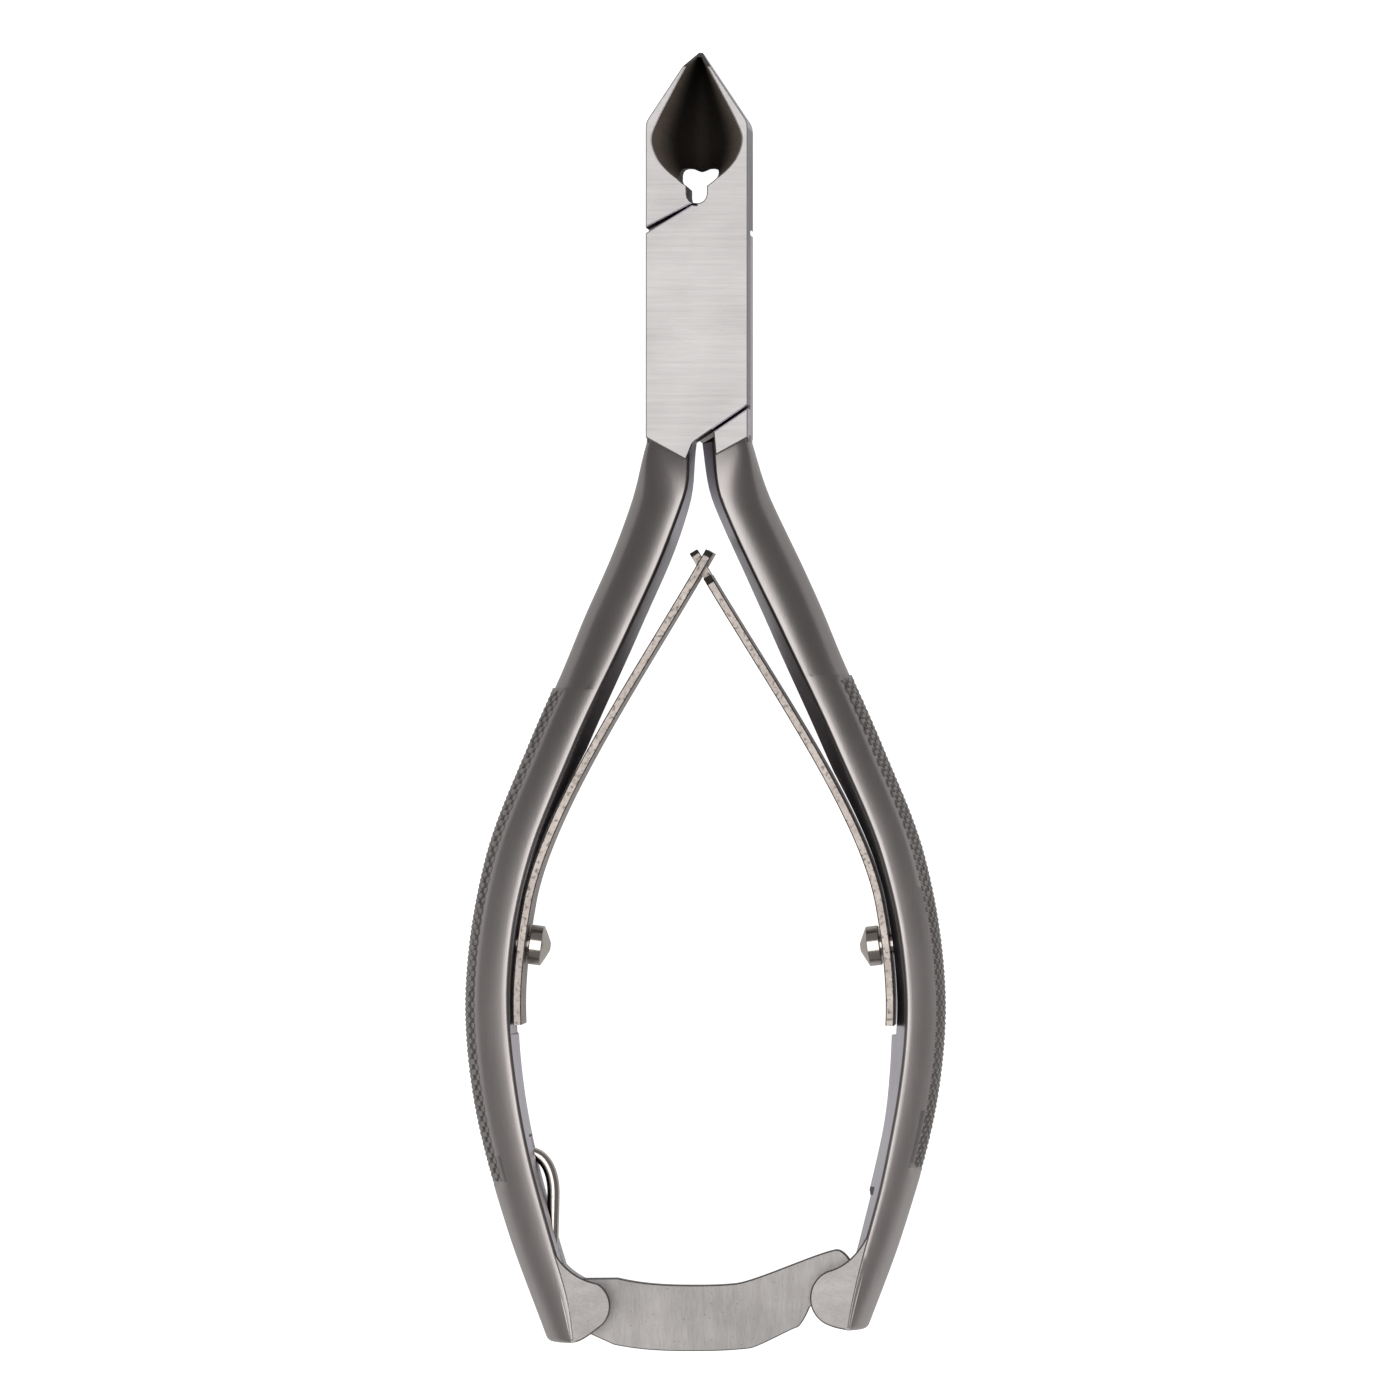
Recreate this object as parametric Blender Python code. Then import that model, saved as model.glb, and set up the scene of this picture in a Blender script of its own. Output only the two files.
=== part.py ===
"""Nail nipper lying on its back: two lap-jointed levers on one flush rivet, two leaf springs with
interlocking tips, and a strap that hooks the handle ends together.

The back of the joint block rests on z = 0. The jaws point along +Y and the joint turns about the
Z axis. The front lever has the right jaw, the front plate of the joint and the left handle. The
back lever has the left jaw, the back plate and the right handle.
"""

from math import atan2, cos, degrees, hypot, pi, radians, sin

import bmesh
import bpy

# Every size below is in millimetres. new_object turns them into metres.
MM = 0.001

# Joint block and jaws
BLOCK_DEPTH = 9.0
BLOCK_WIDTH = 11.0
JAW_TIP_Y = 28.9
JAW_SHOULDER_Y = 21.0
SHOULDER_ROUND = 0.8
TIP_FLAT = 0.2
NOSE_LENGTH = 2.0
NOSE_HEIGHT = 2.4
SEAM_GAP = 0.1
LAP_GAP = 0.2
UPPER_SLIT_SIDE_Y = 9.65
UPPER_SLIT_MIDDLE_Y = 12.25
UPPER_SLIT_SIDE_GAP = 0.6
UPPER_SLIT_MIDDLE_GAP = 0.2
SLIT_END_X = 0.5
LOWER_SLIT_SIDE_Y = -9.8
LOWER_SLIT_MIDDLE_Y = -12.3
LOWER_SLIT_GAP = 0.4
ROOT_INNER_X = 1.8
CROTCH_X = 0.25
ROOT_FLAT_SIDE_Y = -12.9
ROOT_FLAT_INNER_Y = -15.3

# Hollow of the jaws: half width of its mouth at each height along the jaw
HOLLOW_MOUTH = (
    (14.2, 1.2),
    (15.7, 3.1),
    (17.2, 4.3),
    (19.2, 4.85),
    (21.2, 4.15),
    (23.8, 2.8),
    (26.7, 1.25),
    (28.3, 0.35),
)
HOLLOW_SLOPE = 0.62
CUTTING_EDGE_THICKNESS = 0.25
RELIEF_TOP_Y = 16.4
RELIEF_NIB_Y = 15.9
RELIEF_WAIST_Y = 14.2
RELIEF_LOBE_HALF_WIDTH = 1.85
NOTCH_HALF_WIDTH = 1.1

# Handles: share of the length, share of the way from the block's side to the full spread,
# bar width, inner draught, half depth
HANDLE_START_Y = -13.4
HANDLE_LENGTH = 96.9
RIGHT_HANDLE_SHORTER = 1.5
HANDLE_SPREAD = 26.0
HANDLE_LEAN = 0.6
LEAN_FULL_AT = 0.15
ROOT_FACE_X = 1.7
ROOT_OVERLAP = 0.8
END_TAPER = 0.94
HANDLE_PROFILE = (
    (0.000, 0.000, BLOCK_WIDTH / 2 - ROOT_FACE_X, 1.4, 4.15),
    (0.068, 0.097, 5.1, 1.1, 4.2),
    (0.212, 0.400, 5.1, 1.4, 4.3),
    (0.336, 0.664, 5.0, 1.5, 4.4),
    (0.460, 0.892, 4.85, 1.4, 4.45),
    (0.604, 1.000, 4.8, 1.1, 4.5),
    (0.728, 0.953, 4.7, 0.9, 4.45),
    (0.873, 0.765, 4.0, 0.8, 4.1),
    (1.000, 0.543, 3.0, 0.5, 3.8),
)
HANDLE_SECTIONS = 22
FACE_EDGE_DROP = 0.2
CROWN_SHARE = 0.1

# Lugs at the handle ends, and what sits in them
LUG_THICKNESS = 7.2
LEFT_LUG_RISE = 4.0
LEFT_LUG_INSET = 5.3
LEFT_LUG_RADIUS = 2.9
RIGHT_LUG_RISE = 3.5
RIGHT_LUG_INSET = 3.8
RIGHT_LUG_RADIUS = 3.2
LUG_THROAT_RISE = 4.6
STRAP_THICKNESS = 1.5
STRAP_SLOT_CLEARANCE = 0.3
SLOT_WALL = 1.3
SLOT_RUN_OUT = 1.0
LEFT_SLOT_LENGTH = 22.3
RIGHT_SLOT_LENGTH = 14.9
STRAP_WIDTH = 7.1
STRAP_BOW_RADIUS = 43.0
STRAP_BOW_RISE = 0.35
STRAP_HEEL_RADIUS = 3.5
STRAP_RIVET_RADIUS = 1.1
STRAP_RIVET_HEAD_RADIUS = 1.6
STRAP_RIVET_HEAD_HEIGHT = 0.8
CATCH_PIN_RADIUS = 0.75
CATCH_CLEARANCE = 0.3
HOOK_NOSE = 1.0
HOOK_DROP = 1.0
HOOK_HEAD_RISE = 5.0
HOOK_HEAD_INSET = 1.0

# Joint rivet
RIVET_SHANK_RADIUS = 2.2
RIVET_HEAD_RADIUS = 3.0
RIVET_HEAD_HEIGHT = 1.2
PIN_CLEARANCE = 0.1

# Leaf springs and their screws
SPRING_THICKNESS = 0.9
SPRING_FOOT_WIDTH = 6.4
SPRING_TIP_WIDTH = 5.0
SPRING_SEAT_CLEARANCE = 0.25
SPRING_FOOT_END_Y = -76.1
SPRING_FOOT_TOP_Y = -63.5
SPRING_FOOT_SINK = 0.45
SPRING_TIP_Y = -25.1
SPRING_CROSS_Y = -26.7
SPRING_TIP_SLOPE = 0.585
SPRING_STEPS = 14
TONGUE_WIDTH = 2.0
TONGUE_CLEARANCE = 0.35
TONGUE_SHOULDER = 1.3
SCREW_Y = -67.4
SCREW_HEAD_RADIUS = 2.15
SCREW_HEAD_HEIGHT = 1.4
SCREW_CONE_HEIGHT = 0.8
SCREW_CONE_TIP_RADIUS = 0.5
SCREW_SHANK_RADIUS = 1.2
SCREW_DEPTH = 2.6
SCREW_SLOT_WIDTH = 0.6
SCREW_SLOT_DEPTH = 0.7

# Detent wire of the strap
WIRE_RADIUS = 0.67
WIRE_TOP_DROP = 1.3
WIRE_BOW_REACH = 1.1
WIRE_BOW_DROP = 5.0
WIRE_BEND_DROP = 0.8
WIRE_ANCHOR_GAP = 0.5
WIRE_HEEL_ANGLE = 132
WIRE_SIDES = 12
WIRE_GAP = 0.3

MIDDLE = BLOCK_DEPTH / 2
HALF_WIDTH = BLOCK_WIDTH / 2
SLOT_WIDTH = STRAP_THICKNESS + 2 * STRAP_SLOT_CLEARANCE
LEFT = -1
RIGHT = 1
HANDLE_END_Y = {
    LEFT: HANDLE_START_Y - HANDLE_LENGTH,
    RIGHT: HANDLE_START_Y - HANDLE_LENGTH + RIGHT_HANDLE_SHORTER,
}
LUG_RADIUS = {LEFT: LEFT_LUG_RADIUS, RIGHT: RIGHT_LUG_RADIUS}
LUG_RISE = {LEFT: LEFT_LUG_RISE, RIGHT: RIGHT_LUG_RISE}
LUG_INSET = {LEFT: LEFT_LUG_INSET, RIGHT: RIGHT_LUG_INSET}
SLOT_LENGTH = {LEFT: LEFT_SLOT_LENGTH, RIGHT: RIGHT_SLOT_LENGTH}

# How far a cutter runs past what it cuts, and the sides of a round solid
BEYOND = 3.0
ROUND_STEPS = 32


# ---- Curves -------------------------------------------------------------------------------------


def smooth_value(table, column, at):
    """Value of one column at a share of the first column, on a smooth curve through the rows."""
    rows = list(table)
    last = len(rows) - 1
    index = 0
    while index < last - 1 and at > rows[index + 1][0]:
        index += 1
    start, end = rows[index], rows[index + 1]
    before = rows[max(index - 1, 0)]
    after = rows[min(index + 2, last)]
    span = end[0] - start[0]
    t = (at - start[0]) / span
    slope_start = (end[column] - before[column]) / (end[0] - before[0]) * span
    slope_end = (after[column] - start[column]) / (after[0] - start[0]) * span
    return hermite(start[column], slope_start, end[column], slope_end, t)


def hermite(start, slope_start, end, slope_end, t):
    """Cubic between two values with given slopes."""
    a = 2 * t**3 - 3 * t**2 + 1
    b = t**3 - 2 * t**2 + t
    c = -2 * t**3 + 3 * t**2
    d = t**3 - t**2
    return a * start + b * slope_start + c * end + d * slope_end


def curve_between(start, slope_start, end, slope_end, steps):
    """Points of a cubic from start to end, both included."""
    points = []
    for step in range(steps + 1):
        t = step / steps
        points.append(tuple(hermite(start[i], slope_start[i], end[i], slope_end[i], t) for i in (0, 1)))
    return points


def arc(centre, radius, start_angle, end_angle, steps):
    """Points of an arc, in degrees, both ends included."""
    points = []
    for step in range(steps + 1):
        angle = radians(start_angle + (end_angle - start_angle) * step / steps)
        points.append((centre[0] + radius * cos(angle), centre[1] + radius * sin(angle)))
    return points


def smooth_step(t):
    t = min(max(t, 0.0), 1.0)
    return t * t * (3 - 2 * t)


# ---- Meshes and materials -----------------------------------------------------------------------


def clear_scene():
    for item in list(bpy.data.objects):
        bpy.data.objects.remove(item, do_unlink=True)


def steel(name, colour, roughness):
    """Stainless steel in one finish."""
    material = bpy.data.materials.new(name)
    material.use_nodes = True
    shader = material.node_tree.nodes["Principled BSDF"]
    shader.inputs["Base Color"].default_value = (*colour, 1.0)
    shader.inputs["Metallic"].default_value = 1.0
    shader.inputs["Roughness"].default_value = roughness
    material.diffuse_color = (*colour, 1.0)
    return material


def new_object(name, mesh, material=None, origin=(0.0, 0.0, 0.0)):
    """Object from a bmesh in millimetres, with its origin at the given point."""
    bmesh.ops.recalc_face_normals(mesh, faces=mesh.faces)
    for vertex in mesh.verts:
        vertex.co = [(vertex.co[i] - origin[i]) * MM for i in range(3)]
    data = bpy.data.meshes.new(name)
    mesh.to_mesh(data)
    mesh.free()
    item = bpy.data.objects.new(name, data)
    item.location = [value * MM for value in origin]
    bpy.context.scene.collection.objects.link(item)
    if material:
        data.materials.append(material)
    return item


def shade_round(item):
    item.data.shade_smooth()
    item.data.set_sharp_from_angle(angle=radians(35))


def prism(outline, bottom, top):
    """Upright prism over an outline in the XY plane."""
    mesh = bmesh.new()
    low = [mesh.verts.new((x, y, bottom)) for x, y in outline]
    high = [mesh.verts.new((x, y, top)) for x, y in outline]
    bridge(mesh, low, high)
    mesh.faces.new(low)
    mesh.faces.new(high)
    return mesh


def bridge(mesh, ring_a, ring_b):
    count = len(ring_a)
    for i in range(count):
        j = (i + 1) % count
        mesh.faces.new((ring_a[i], ring_a[j], ring_b[j], ring_b[i]))


def loft(rings):
    """Closed skin through rings of equal length, with flat ends."""
    mesh = bmesh.new()
    made = [[mesh.verts.new(point) for point in ring] for ring in rings]
    for ring_a, ring_b in zip(made, made[1:]):
        bridge(mesh, ring_a, ring_b)
    mesh.faces.new(made[0])
    mesh.faces.new(made[-1])
    return mesh


def turned(profile, place):
    """Solid turned from (along, radius) points. place maps (along, side, side) to a point."""
    rings = []
    for along, radius in profile:
        ring = []
        for step in range(ROUND_STEPS):
            angle = 2 * pi * step / ROUND_STEPS
            ring.append(place(along, radius * cos(angle), radius * sin(angle)))
        rings.append(ring)
    return loft(rings)


def upright(centre):
    """Place for a turned solid that stands along Z over a point of the XY plane."""
    return lambda along, a, b: (centre[0] + a, centre[1] + b, along)


def cut(item, name, mesh):
    """Cuts a helper solid out of the item."""
    boolean(item, name, mesh, "DIFFERENCE")


def join(item, name, mesh):
    """Adds a helper solid to the item."""
    boolean(item, name, mesh, "UNION")


def boolean(item, name, mesh, operation):
    helper = new_object(f"{item.name}_{name}", mesh)
    helper.hide_render = True
    helper.display_type = "WIRE"
    modifier = item.modifiers.new(name, "BOOLEAN")
    modifier.operation = operation
    modifier.solver = "EXACT"
    modifier.object = helper


# ---- Handle lines -------------------------------------------------------------------------------


def handle_share(y):
    return (HANDLE_START_Y - y) / HANDLE_LENGTH


def handle_lean(y):
    """Both handles sit a little to the right of the joint, from just below it."""
    return HANDLE_LEAN * smooth_step(handle_share(y) / LEAN_FULL_AT)


def handle_value(column, y):
    return smooth_value(HANDLE_PROFILE, column, handle_share(y))


def outer_x(side, y):
    reach = HALF_WIDTH + (HANDLE_SPREAD - HALF_WIDTH) * handle_value(1, y)
    return side * reach + handle_lean(y)


def face_edge_x(side, y):
    return outer_x(side, y) - side * handle_value(2, y)


def inner_x(side, y):
    return face_edge_x(side, y) - side * handle_value(3, y)


def handle_section(side, y):
    """Ring of one handle section: draughted inner side, sharp face edge, domed face, round back."""
    outer, edge, inner = outer_x(side, y), face_edge_x(side, y), inner_x(side, y)
    depth = handle_value(4, y)
    crown = edge + CROWN_SHARE * (outer - edge)
    upper = [(edge, depth - FACE_EDGE_DROP), ((edge + crown) / 2, depth - FACE_EDGE_DROP / 4)]
    for angle in (0, 22, 42, 60, 76):
        turn = radians(angle)
        upper.append((crown + (outer - crown) * sin(turn), depth * cos(turn)))
    lower = [(x, -z) for x, z in reversed(upper)]
    ring = [(inner, 0.0), *upper, (outer, 0.0), *lower]
    return [(x, y, MIDDLE + z) for x, z in ring]


def handle_bar(side):
    """Loft of a whole handle, from inside the joint block to its end."""
    end_y = HANDLE_END_Y[side]
    first = handle_section(side, HANDLE_START_Y)
    buried_y = HANDLE_START_Y + ROOT_OVERLAP
    buried = [(max(side * x, ROOT_INNER_X + LAP_GAP / 2) * side, buried_y, z) for x, _, z in first]
    rings = [buried]
    for step in range(HANDLE_SECTIONS + 1):
        y = HANDLE_START_Y + (end_y - HANDLE_START_Y) * step / HANDLE_SECTIONS
        rings.append(handle_section(side, y))
    rings[-1] = [(x, y, MIDDLE + (z - MIDDLE) * END_TAPER) for x, y, z in rings[-1]]
    return loft(rings)


# ---- Levers -------------------------------------------------------------------------------------


def upper_slit_y(x, gap_share):
    """Height of the upper slit. x runs from the slit's middle end to the block's side."""
    t = (abs(x) - SLIT_END_X) / (HALF_WIDTH - SLIT_END_X)
    jaw = UPPER_SLIT_MIDDLE_Y + (UPPER_SLIT_SIDE_Y - UPPER_SLIT_MIDDLE_Y) * t
    gap = UPPER_SLIT_MIDDLE_GAP + (UPPER_SLIT_SIDE_GAP - UPPER_SLIT_MIDDLE_GAP) * t
    return jaw - gap * gap_share


def lower_slit_y(x, gap_share):
    """Height of the lower slit. gap_share 0 is the handle root's edge, 1 is the plate's."""
    t = (x - ROOT_INNER_X) / (HALF_WIDTH - ROOT_INNER_X)
    root = LOWER_SLIT_MIDDLE_Y + (LOWER_SLIT_SIDE_Y - LOWER_SLIT_MIDDLE_Y) * t
    return root + LOWER_SLIT_GAP * gap_share


def lever_outline(side):
    """Front half of the front lever: right jaw, plate and left root. side mirrors it for the back."""
    seam = SEAM_GAP / 2
    across = -side
    shoulder = (HALF_WIDTH, JAW_SHOULDER_Y - SHOULDER_ROUND)
    outline = [
        (seam, JAW_TIP_Y),
        (seam + TIP_FLAT, JAW_TIP_Y),
        (HALF_WIDTH - 0.5 * SHOULDER_ROUND, JAW_SHOULDER_Y + 0.7 * SHOULDER_ROUND),
        (HALF_WIDTH - 0.1 * SHOULDER_ROUND, JAW_SHOULDER_Y),
        shoulder,
        (HALF_WIDTH, lower_slit_y(HALF_WIDTH, 1)),
        (-CROTCH_X + 0.1, lower_slit_y(-CROTCH_X, 1)),
        (-CROTCH_X - 0.2, lower_slit_y(-CROTCH_X, 1) - 0.3),
        (-CROTCH_X - 0.9, ROOT_FLAT_INNER_Y),
        (-HALF_WIDTH, ROOT_FLAT_SIDE_Y),
        (-HALF_WIDTH, upper_slit_y(HALF_WIDTH, 1)),
        (-SLIT_END_X, upper_slit_y(SLIT_END_X, 1)),
        (seam, upper_slit_y(SLIT_END_X, 1)),
    ]
    return [(across * x, y) for x, y in outline]


def far_half_cutter(side):
    """What the lever leaves free in its far half: the other plate's room, from slit to slit."""
    across = -side
    wide = HALF_WIDTH + BEYOND
    outline = [
        (wide, upper_slit_y(wide, 0)),
        (SLIT_END_X, upper_slit_y(SLIT_END_X, 0)),
        (-wide, upper_slit_y(SLIT_END_X, 0)),
        (-wide, lower_slit_y(wide, 0)),
        (-ROOT_INNER_X, lower_slit_y(ROOT_INNER_X, 0)),
        (-ROOT_INNER_X - 0.2, ROOT_FLAT_INNER_Y + 0.8),
        (-ROOT_INNER_X - 0.2, ROOT_FLAT_INNER_Y - BEYOND),
        (wide, ROOT_FLAT_INNER_Y - BEYOND),
    ]
    return [(across * x, y) for x, y in outline]


def half_depths(side):
    """(low, high) of the half that the lever's plate leaves free."""
    if side == LEFT:
        return -BEYOND, MIDDLE + LAP_GAP / 2
    return MIDDLE - LAP_GAP / 2, BLOCK_DEPTH + BEYOND


def hollow_cutter():
    """Scoop between the jaws: wide at the front, down to the cutting edges at the back."""
    first, last = HOLLOW_MOUTH[0][0], HOLLOW_MOUTH[-1][0]
    rings = []
    for step in range(19):
        y = first + (last - first) * step / 18
        mouth = smooth_value(HOLLOW_MOUTH, 1, y)
        sides = [(mouth, BLOCK_DEPTH + BEYOND)]
        for share in (1.0, 0.8, 0.6, 0.42, 0.26, 0.12):
            height = CUTTING_EDGE_THICKNESS + (BLOCK_DEPTH - CUTTING_EDGE_THICKNESS) * share
            sides.append((mouth * share**HOLLOW_SLOPE, height))
        mirrored = [(-x, z) for x, z in reversed(sides)]
        ring = [*sides, (0.0, CUTTING_EDGE_THICKNESS), *mirrored]
        rings.append([(x, y, z) for x, z in ring])
    return loft(rings)


def relief_cutter():
    """Heart-topped hole below the cutting edges, with a narrow notch at its foot."""
    floor_y = UPPER_SLIT_MIDDLE_Y
    lobe = RELIEF_LOBE_HALF_WIDTH
    half = [
        (0.0, floor_y),
        (NOTCH_HALF_WIDTH * 0.6, floor_y + 0.15),
        (NOTCH_HALF_WIDTH, floor_y + 0.8),
        (NOTCH_HALF_WIDTH, RELIEF_WAIST_Y),
        (lobe, RELIEF_WAIST_Y + 0.5),
        (lobe * 0.95, RELIEF_TOP_Y - 0.9),
        (lobe * 0.75, RELIEF_TOP_Y - 0.2),
        (lobe * 0.45, RELIEF_TOP_Y),
    ]
    mirrored = [(-x, y) for x, y in reversed(half[1:])]
    outline = [*half, (0.0, RELIEF_NIB_Y), *mirrored]
    return prism(outline, -BEYOND, BLOCK_DEPTH + BEYOND)


def nose_cutter():
    """Slope that takes the front of the jaw tips down towards the cutting edges."""
    wide = HALF_WIDTH
    start, tip = JAW_TIP_Y - NOSE_LENGTH, JAW_TIP_Y + NOSE_LENGTH
    drop = (BLOCK_DEPTH - NOSE_HEIGHT) / NOSE_LENGTH
    profile = [
        (start, BLOCK_DEPTH),
        (start - 0.5, BLOCK_DEPTH + BEYOND),
        (tip, BLOCK_DEPTH + BEYOND),
        (tip, BLOCK_DEPTH - drop * (tip - start)),
    ]
    return loft([[(x, y, z) for y, z in profile] for x in (-wide, wide)])


def lug_centre(side):
    """Centre of the lug's round end, where its rivet or pin stands."""
    y = HANDLE_END_Y[side] + LUG_RISE[side]
    return outer_x(side, y) - side * LUG_INSET[side], y


def lug_outline(side):
    """Rounded lug that grows out of the inner side of a handle end."""
    lug, radius, end_y = lug_centre(side), LUG_RADIUS[side], HANDLE_END_Y[side]
    bar_top = lug[1] + LUG_THROAT_RISE
    buried = face_edge_x(side, bar_top) + side * 1.0
    start = (face_edge_x(side, bar_top), bar_top)
    turn = 62 if side == LEFT else 118
    on_circle = arc(lug, radius, turn, turn, 1)[0]
    throat = curve_between(start, (-side * 1.2, -2.2), on_circle, (-side * 4.5, -2.0), 8)
    sweep = arc(lug, radius, turn, -75 if side == LEFT else 255, 12)
    foot = (face_edge_x(side, end_y), end_y)
    outline = [(buried, bar_top), *throat, *sweep[1:], foot, (foot[0] + side, end_y)]
    return outline


def slot_top(side):
    return HANDLE_END_Y[side] + SLOT_LENGTH[side]


def slot_cutter(side):
    """Mid-depth slot of a handle end, open to the inner side and to the end."""
    end_y, top_y = HANDLE_END_Y[side], slot_top(side)
    deep_y = top_y - SLOT_RUN_OUT
    outline = [(inner_x(side, top_y) - side * BEYOND, top_y), (face_edge_x(side, top_y), top_y)]
    for step in range(9):
        y = deep_y + (end_y - deep_y) * step / 8
        outline.append((outer_x(side, y) - side * SLOT_WALL, y))
    outline.append((outline[-1][0], end_y - BEYOND))
    outline.append((inner_x(side, end_y) - side * 4 * BEYOND, end_y - BEYOND))
    outline.append((inner_x(side, end_y) - side * 4 * BEYOND, top_y))
    return prism(outline, MIDDLE - SLOT_WIDTH / 2, MIDDLE + SLOT_WIDTH / 2)


def seat_cutter(side):
    """Flat land milled in the handle's inner side, and the room that the spring bends in."""
    back = SPRING_THICKNESS / 2 + SPRING_SEAT_CLEARANCE
    line = spring_line(side, SPRING_FOOT_END_Y - 1.0)
    outline = [offset_point(line, i, side * back) for i in range(len(line) - 1)]
    far = [(x - side * 2 * BEYOND, y) for x, y in (outline[-1], outline[0])]
    return prism([*outline, *far], -BEYOND, BLOCK_DEPTH + BEYOND)


def lever(name, side, material):
    item = new_object(name, prism(lever_outline(side), 0.0, BLOCK_DEPTH), material)
    cut(item, "far_half", prism(far_half_cutter(side), *half_depths(side)))
    cut(item, "hollow", hollow_cutter())
    cut(item, "relief", relief_cutter())
    cut(item, "nose", nose_cutter())
    join(item, "bar", handle_bar(side))
    lug_low, lug_high = MIDDLE - LUG_THICKNESS / 2, MIDDLE + LUG_THICKNESS / 2
    join(item, "lug", prism(lug_outline(side), lug_low, lug_high))
    cut(item, "slot", slot_cutter(side))
    cut(item, "seat", seat_cutter(side))
    cut(item, "rivet_hole", rivet_shape(PIN_CLEARANCE, -BEYOND))
    cut(item, "screw_hole", screw_hole(side))
    if side == LEFT:
        cut(item, "strap_hole", strap_rivet_shape(PIN_CLEARANCE, BEYOND))
    else:
        cut(item, "catch_hole", catch_pin_shape(PIN_CLEARANCE, BEYOND))
    return item


# ---- Rivets and pins ----------------------------------------------------------------------------


def rivet_shape(clearance, low):
    """Joint rivet with a countersunk head at each face. low is where its back end lies."""
    head = RIVET_HEAD_RADIUS + clearance
    shank = RIVET_SHANK_RADIUS + clearance
    profile = [
        (min(low, 0.0), head),
        (RIVET_HEAD_HEIGHT * 0.4, head),
        (RIVET_HEAD_HEIGHT, shank),
        (BLOCK_DEPTH - RIVET_HEAD_HEIGHT, shank),
        (BLOCK_DEPTH - RIVET_HEAD_HEIGHT * 0.4, head),
        (BLOCK_DEPTH - min(low, 0.0), head),
    ]
    return turned(profile, upright((0.0, 0.0)))


def strap_rivet_shape(clearance, extra):
    """Rivet of the strap, flush with both faces of the left lug."""
    head = STRAP_RIVET_HEAD_RADIUS + clearance
    shank = STRAP_RIVET_RADIUS + clearance
    low, high = MIDDLE - LUG_THICKNESS / 2, MIDDLE + LUG_THICKNESS / 2
    profile = [
        (low - extra, head),
        (low + STRAP_RIVET_HEAD_HEIGHT * 0.3, head),
        (low + STRAP_RIVET_HEAD_HEIGHT, shank),
        (high - STRAP_RIVET_HEAD_HEIGHT, shank),
        (high - STRAP_RIVET_HEAD_HEIGHT * 0.3, head),
        (high + extra, head),
    ]
    return turned(profile, upright(lug_centre(LEFT)))


def catch_pin_shape(clearance, extra):
    """Cross pin of the right lug, which the strap hooks over."""
    radius = CATCH_PIN_RADIUS + clearance
    low, high = MIDDLE - LUG_THICKNESS / 2, MIDDLE + LUG_THICKNESS / 2
    return turned([(low - extra, radius), (high + extra, radius)], upright(lug_centre(RIGHT)))


def pin(name, mesh, material, origin):
    item = new_object(name, mesh, material, origin)
    shade_round(item)
    return item


# ---- Leaf springs -------------------------------------------------------------------------------


def foot_x(side, y):
    """Centre line of the spring's foot, on its land inside the handle's face edge."""
    return face_edge_x(side, y) - side * (SPRING_FOOT_SINK + SPRING_SEAT_CLEARANCE + SPRING_THICKNESS / 2)


def spring_line(side, foot_end_y):
    """Centre line of a leaf spring from its foot to its tip."""
    foot = []
    for step in range(5):
        y = foot_end_y + (SPRING_FOOT_TOP_Y - foot_end_y) * step / 4
        foot.append((foot_x(side, y), y))
    start = foot[-1]
    rise = SPRING_CROSS_Y - start[1]
    foot_slope = (foot[-1][0] - foot[-2][0]) / (foot[-1][1] - foot[-2][1])
    cross = (HANDLE_LEAN / 2, SPRING_CROSS_Y)
    free = curve_between(
        start,
        (foot_slope * rise * 0.8, rise * 0.8),
        cross,
        (-side * SPRING_TIP_SLOPE * rise, rise),
        SPRING_STEPS,
    )
    tip_rise = SPRING_TIP_Y - SPRING_CROSS_Y
    tip = (cross[0] - side * SPRING_TIP_SLOPE * tip_rise, SPRING_TIP_Y)
    return [*foot, *free[1:], tip]


def offset_point(line, index, distance):
    """Point beside the line, square to it. A positive distance lies towards +X."""
    before = line[max(index - 1, 0)]
    after = line[min(index + 1, len(line) - 1)]
    run, rise = after[0] - before[0], after[1] - before[1]
    length = hypot(run, rise)
    x, y = line[index]
    return x + distance * rise / length, y - distance * run / length


def spring_strip(side):
    """Loft of the strip: rectangular sections that narrow from the foot to the tip."""
    line = spring_line(side, SPRING_FOOT_END_Y)
    half = SPRING_THICKNESS / 2
    rings = []
    for index in range(len(line)):
        share = index / (len(line) - 1)
        deep = (SPRING_FOOT_WIDTH + (SPRING_TIP_WIDTH - SPRING_FOOT_WIDTH) * share) / 2
        near = offset_point(line, index, -half)
        far = offset_point(line, index, half)
        corners = ((near, -deep), (far, -deep), (far, deep), (near, deep))
        rings.append([(x, y, MIDDLE + z) for (x, y), z in corners])
    return loft(rings)


def tip_box(side, start, width_low, width_high):
    """Box along the spring's tip, from a distance below the crossing, between two depths."""
    slope = -side * SPRING_TIP_SLOPE
    length = hypot(slope, 1.0)
    along = (slope / length, 1.0 / length)
    square = (along[1], -along[0])
    cross = (HANDLE_LEAN / 2, SPRING_CROSS_Y)
    half = BEYOND / 2
    corners = []
    for forward, sideways in ((-start, -half), (-start, half), (BEYOND, half), (BEYOND, -half)):
        x = cross[0] + along[0] * forward + square[0] * sideways
        y = cross[1] + along[1] * forward + square[1] * sideways
        corners.append((x, y))
    return prism(corners, MIDDLE + width_low, MIDDLE + width_high)


def left_spring(material):
    """The left spring ends in a fork that the right spring's tongue passes through."""
    item = new_object("left_spring", spring_strip(LEFT), material)
    half = TONGUE_WIDTH / 2 + TONGUE_CLEARANCE
    cut(item, "fork", tip_box(LEFT, TONGUE_SHOULDER + 0.4, -half, half))
    cut(item, "screw_hole", screw_hole(LEFT))
    return item


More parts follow.
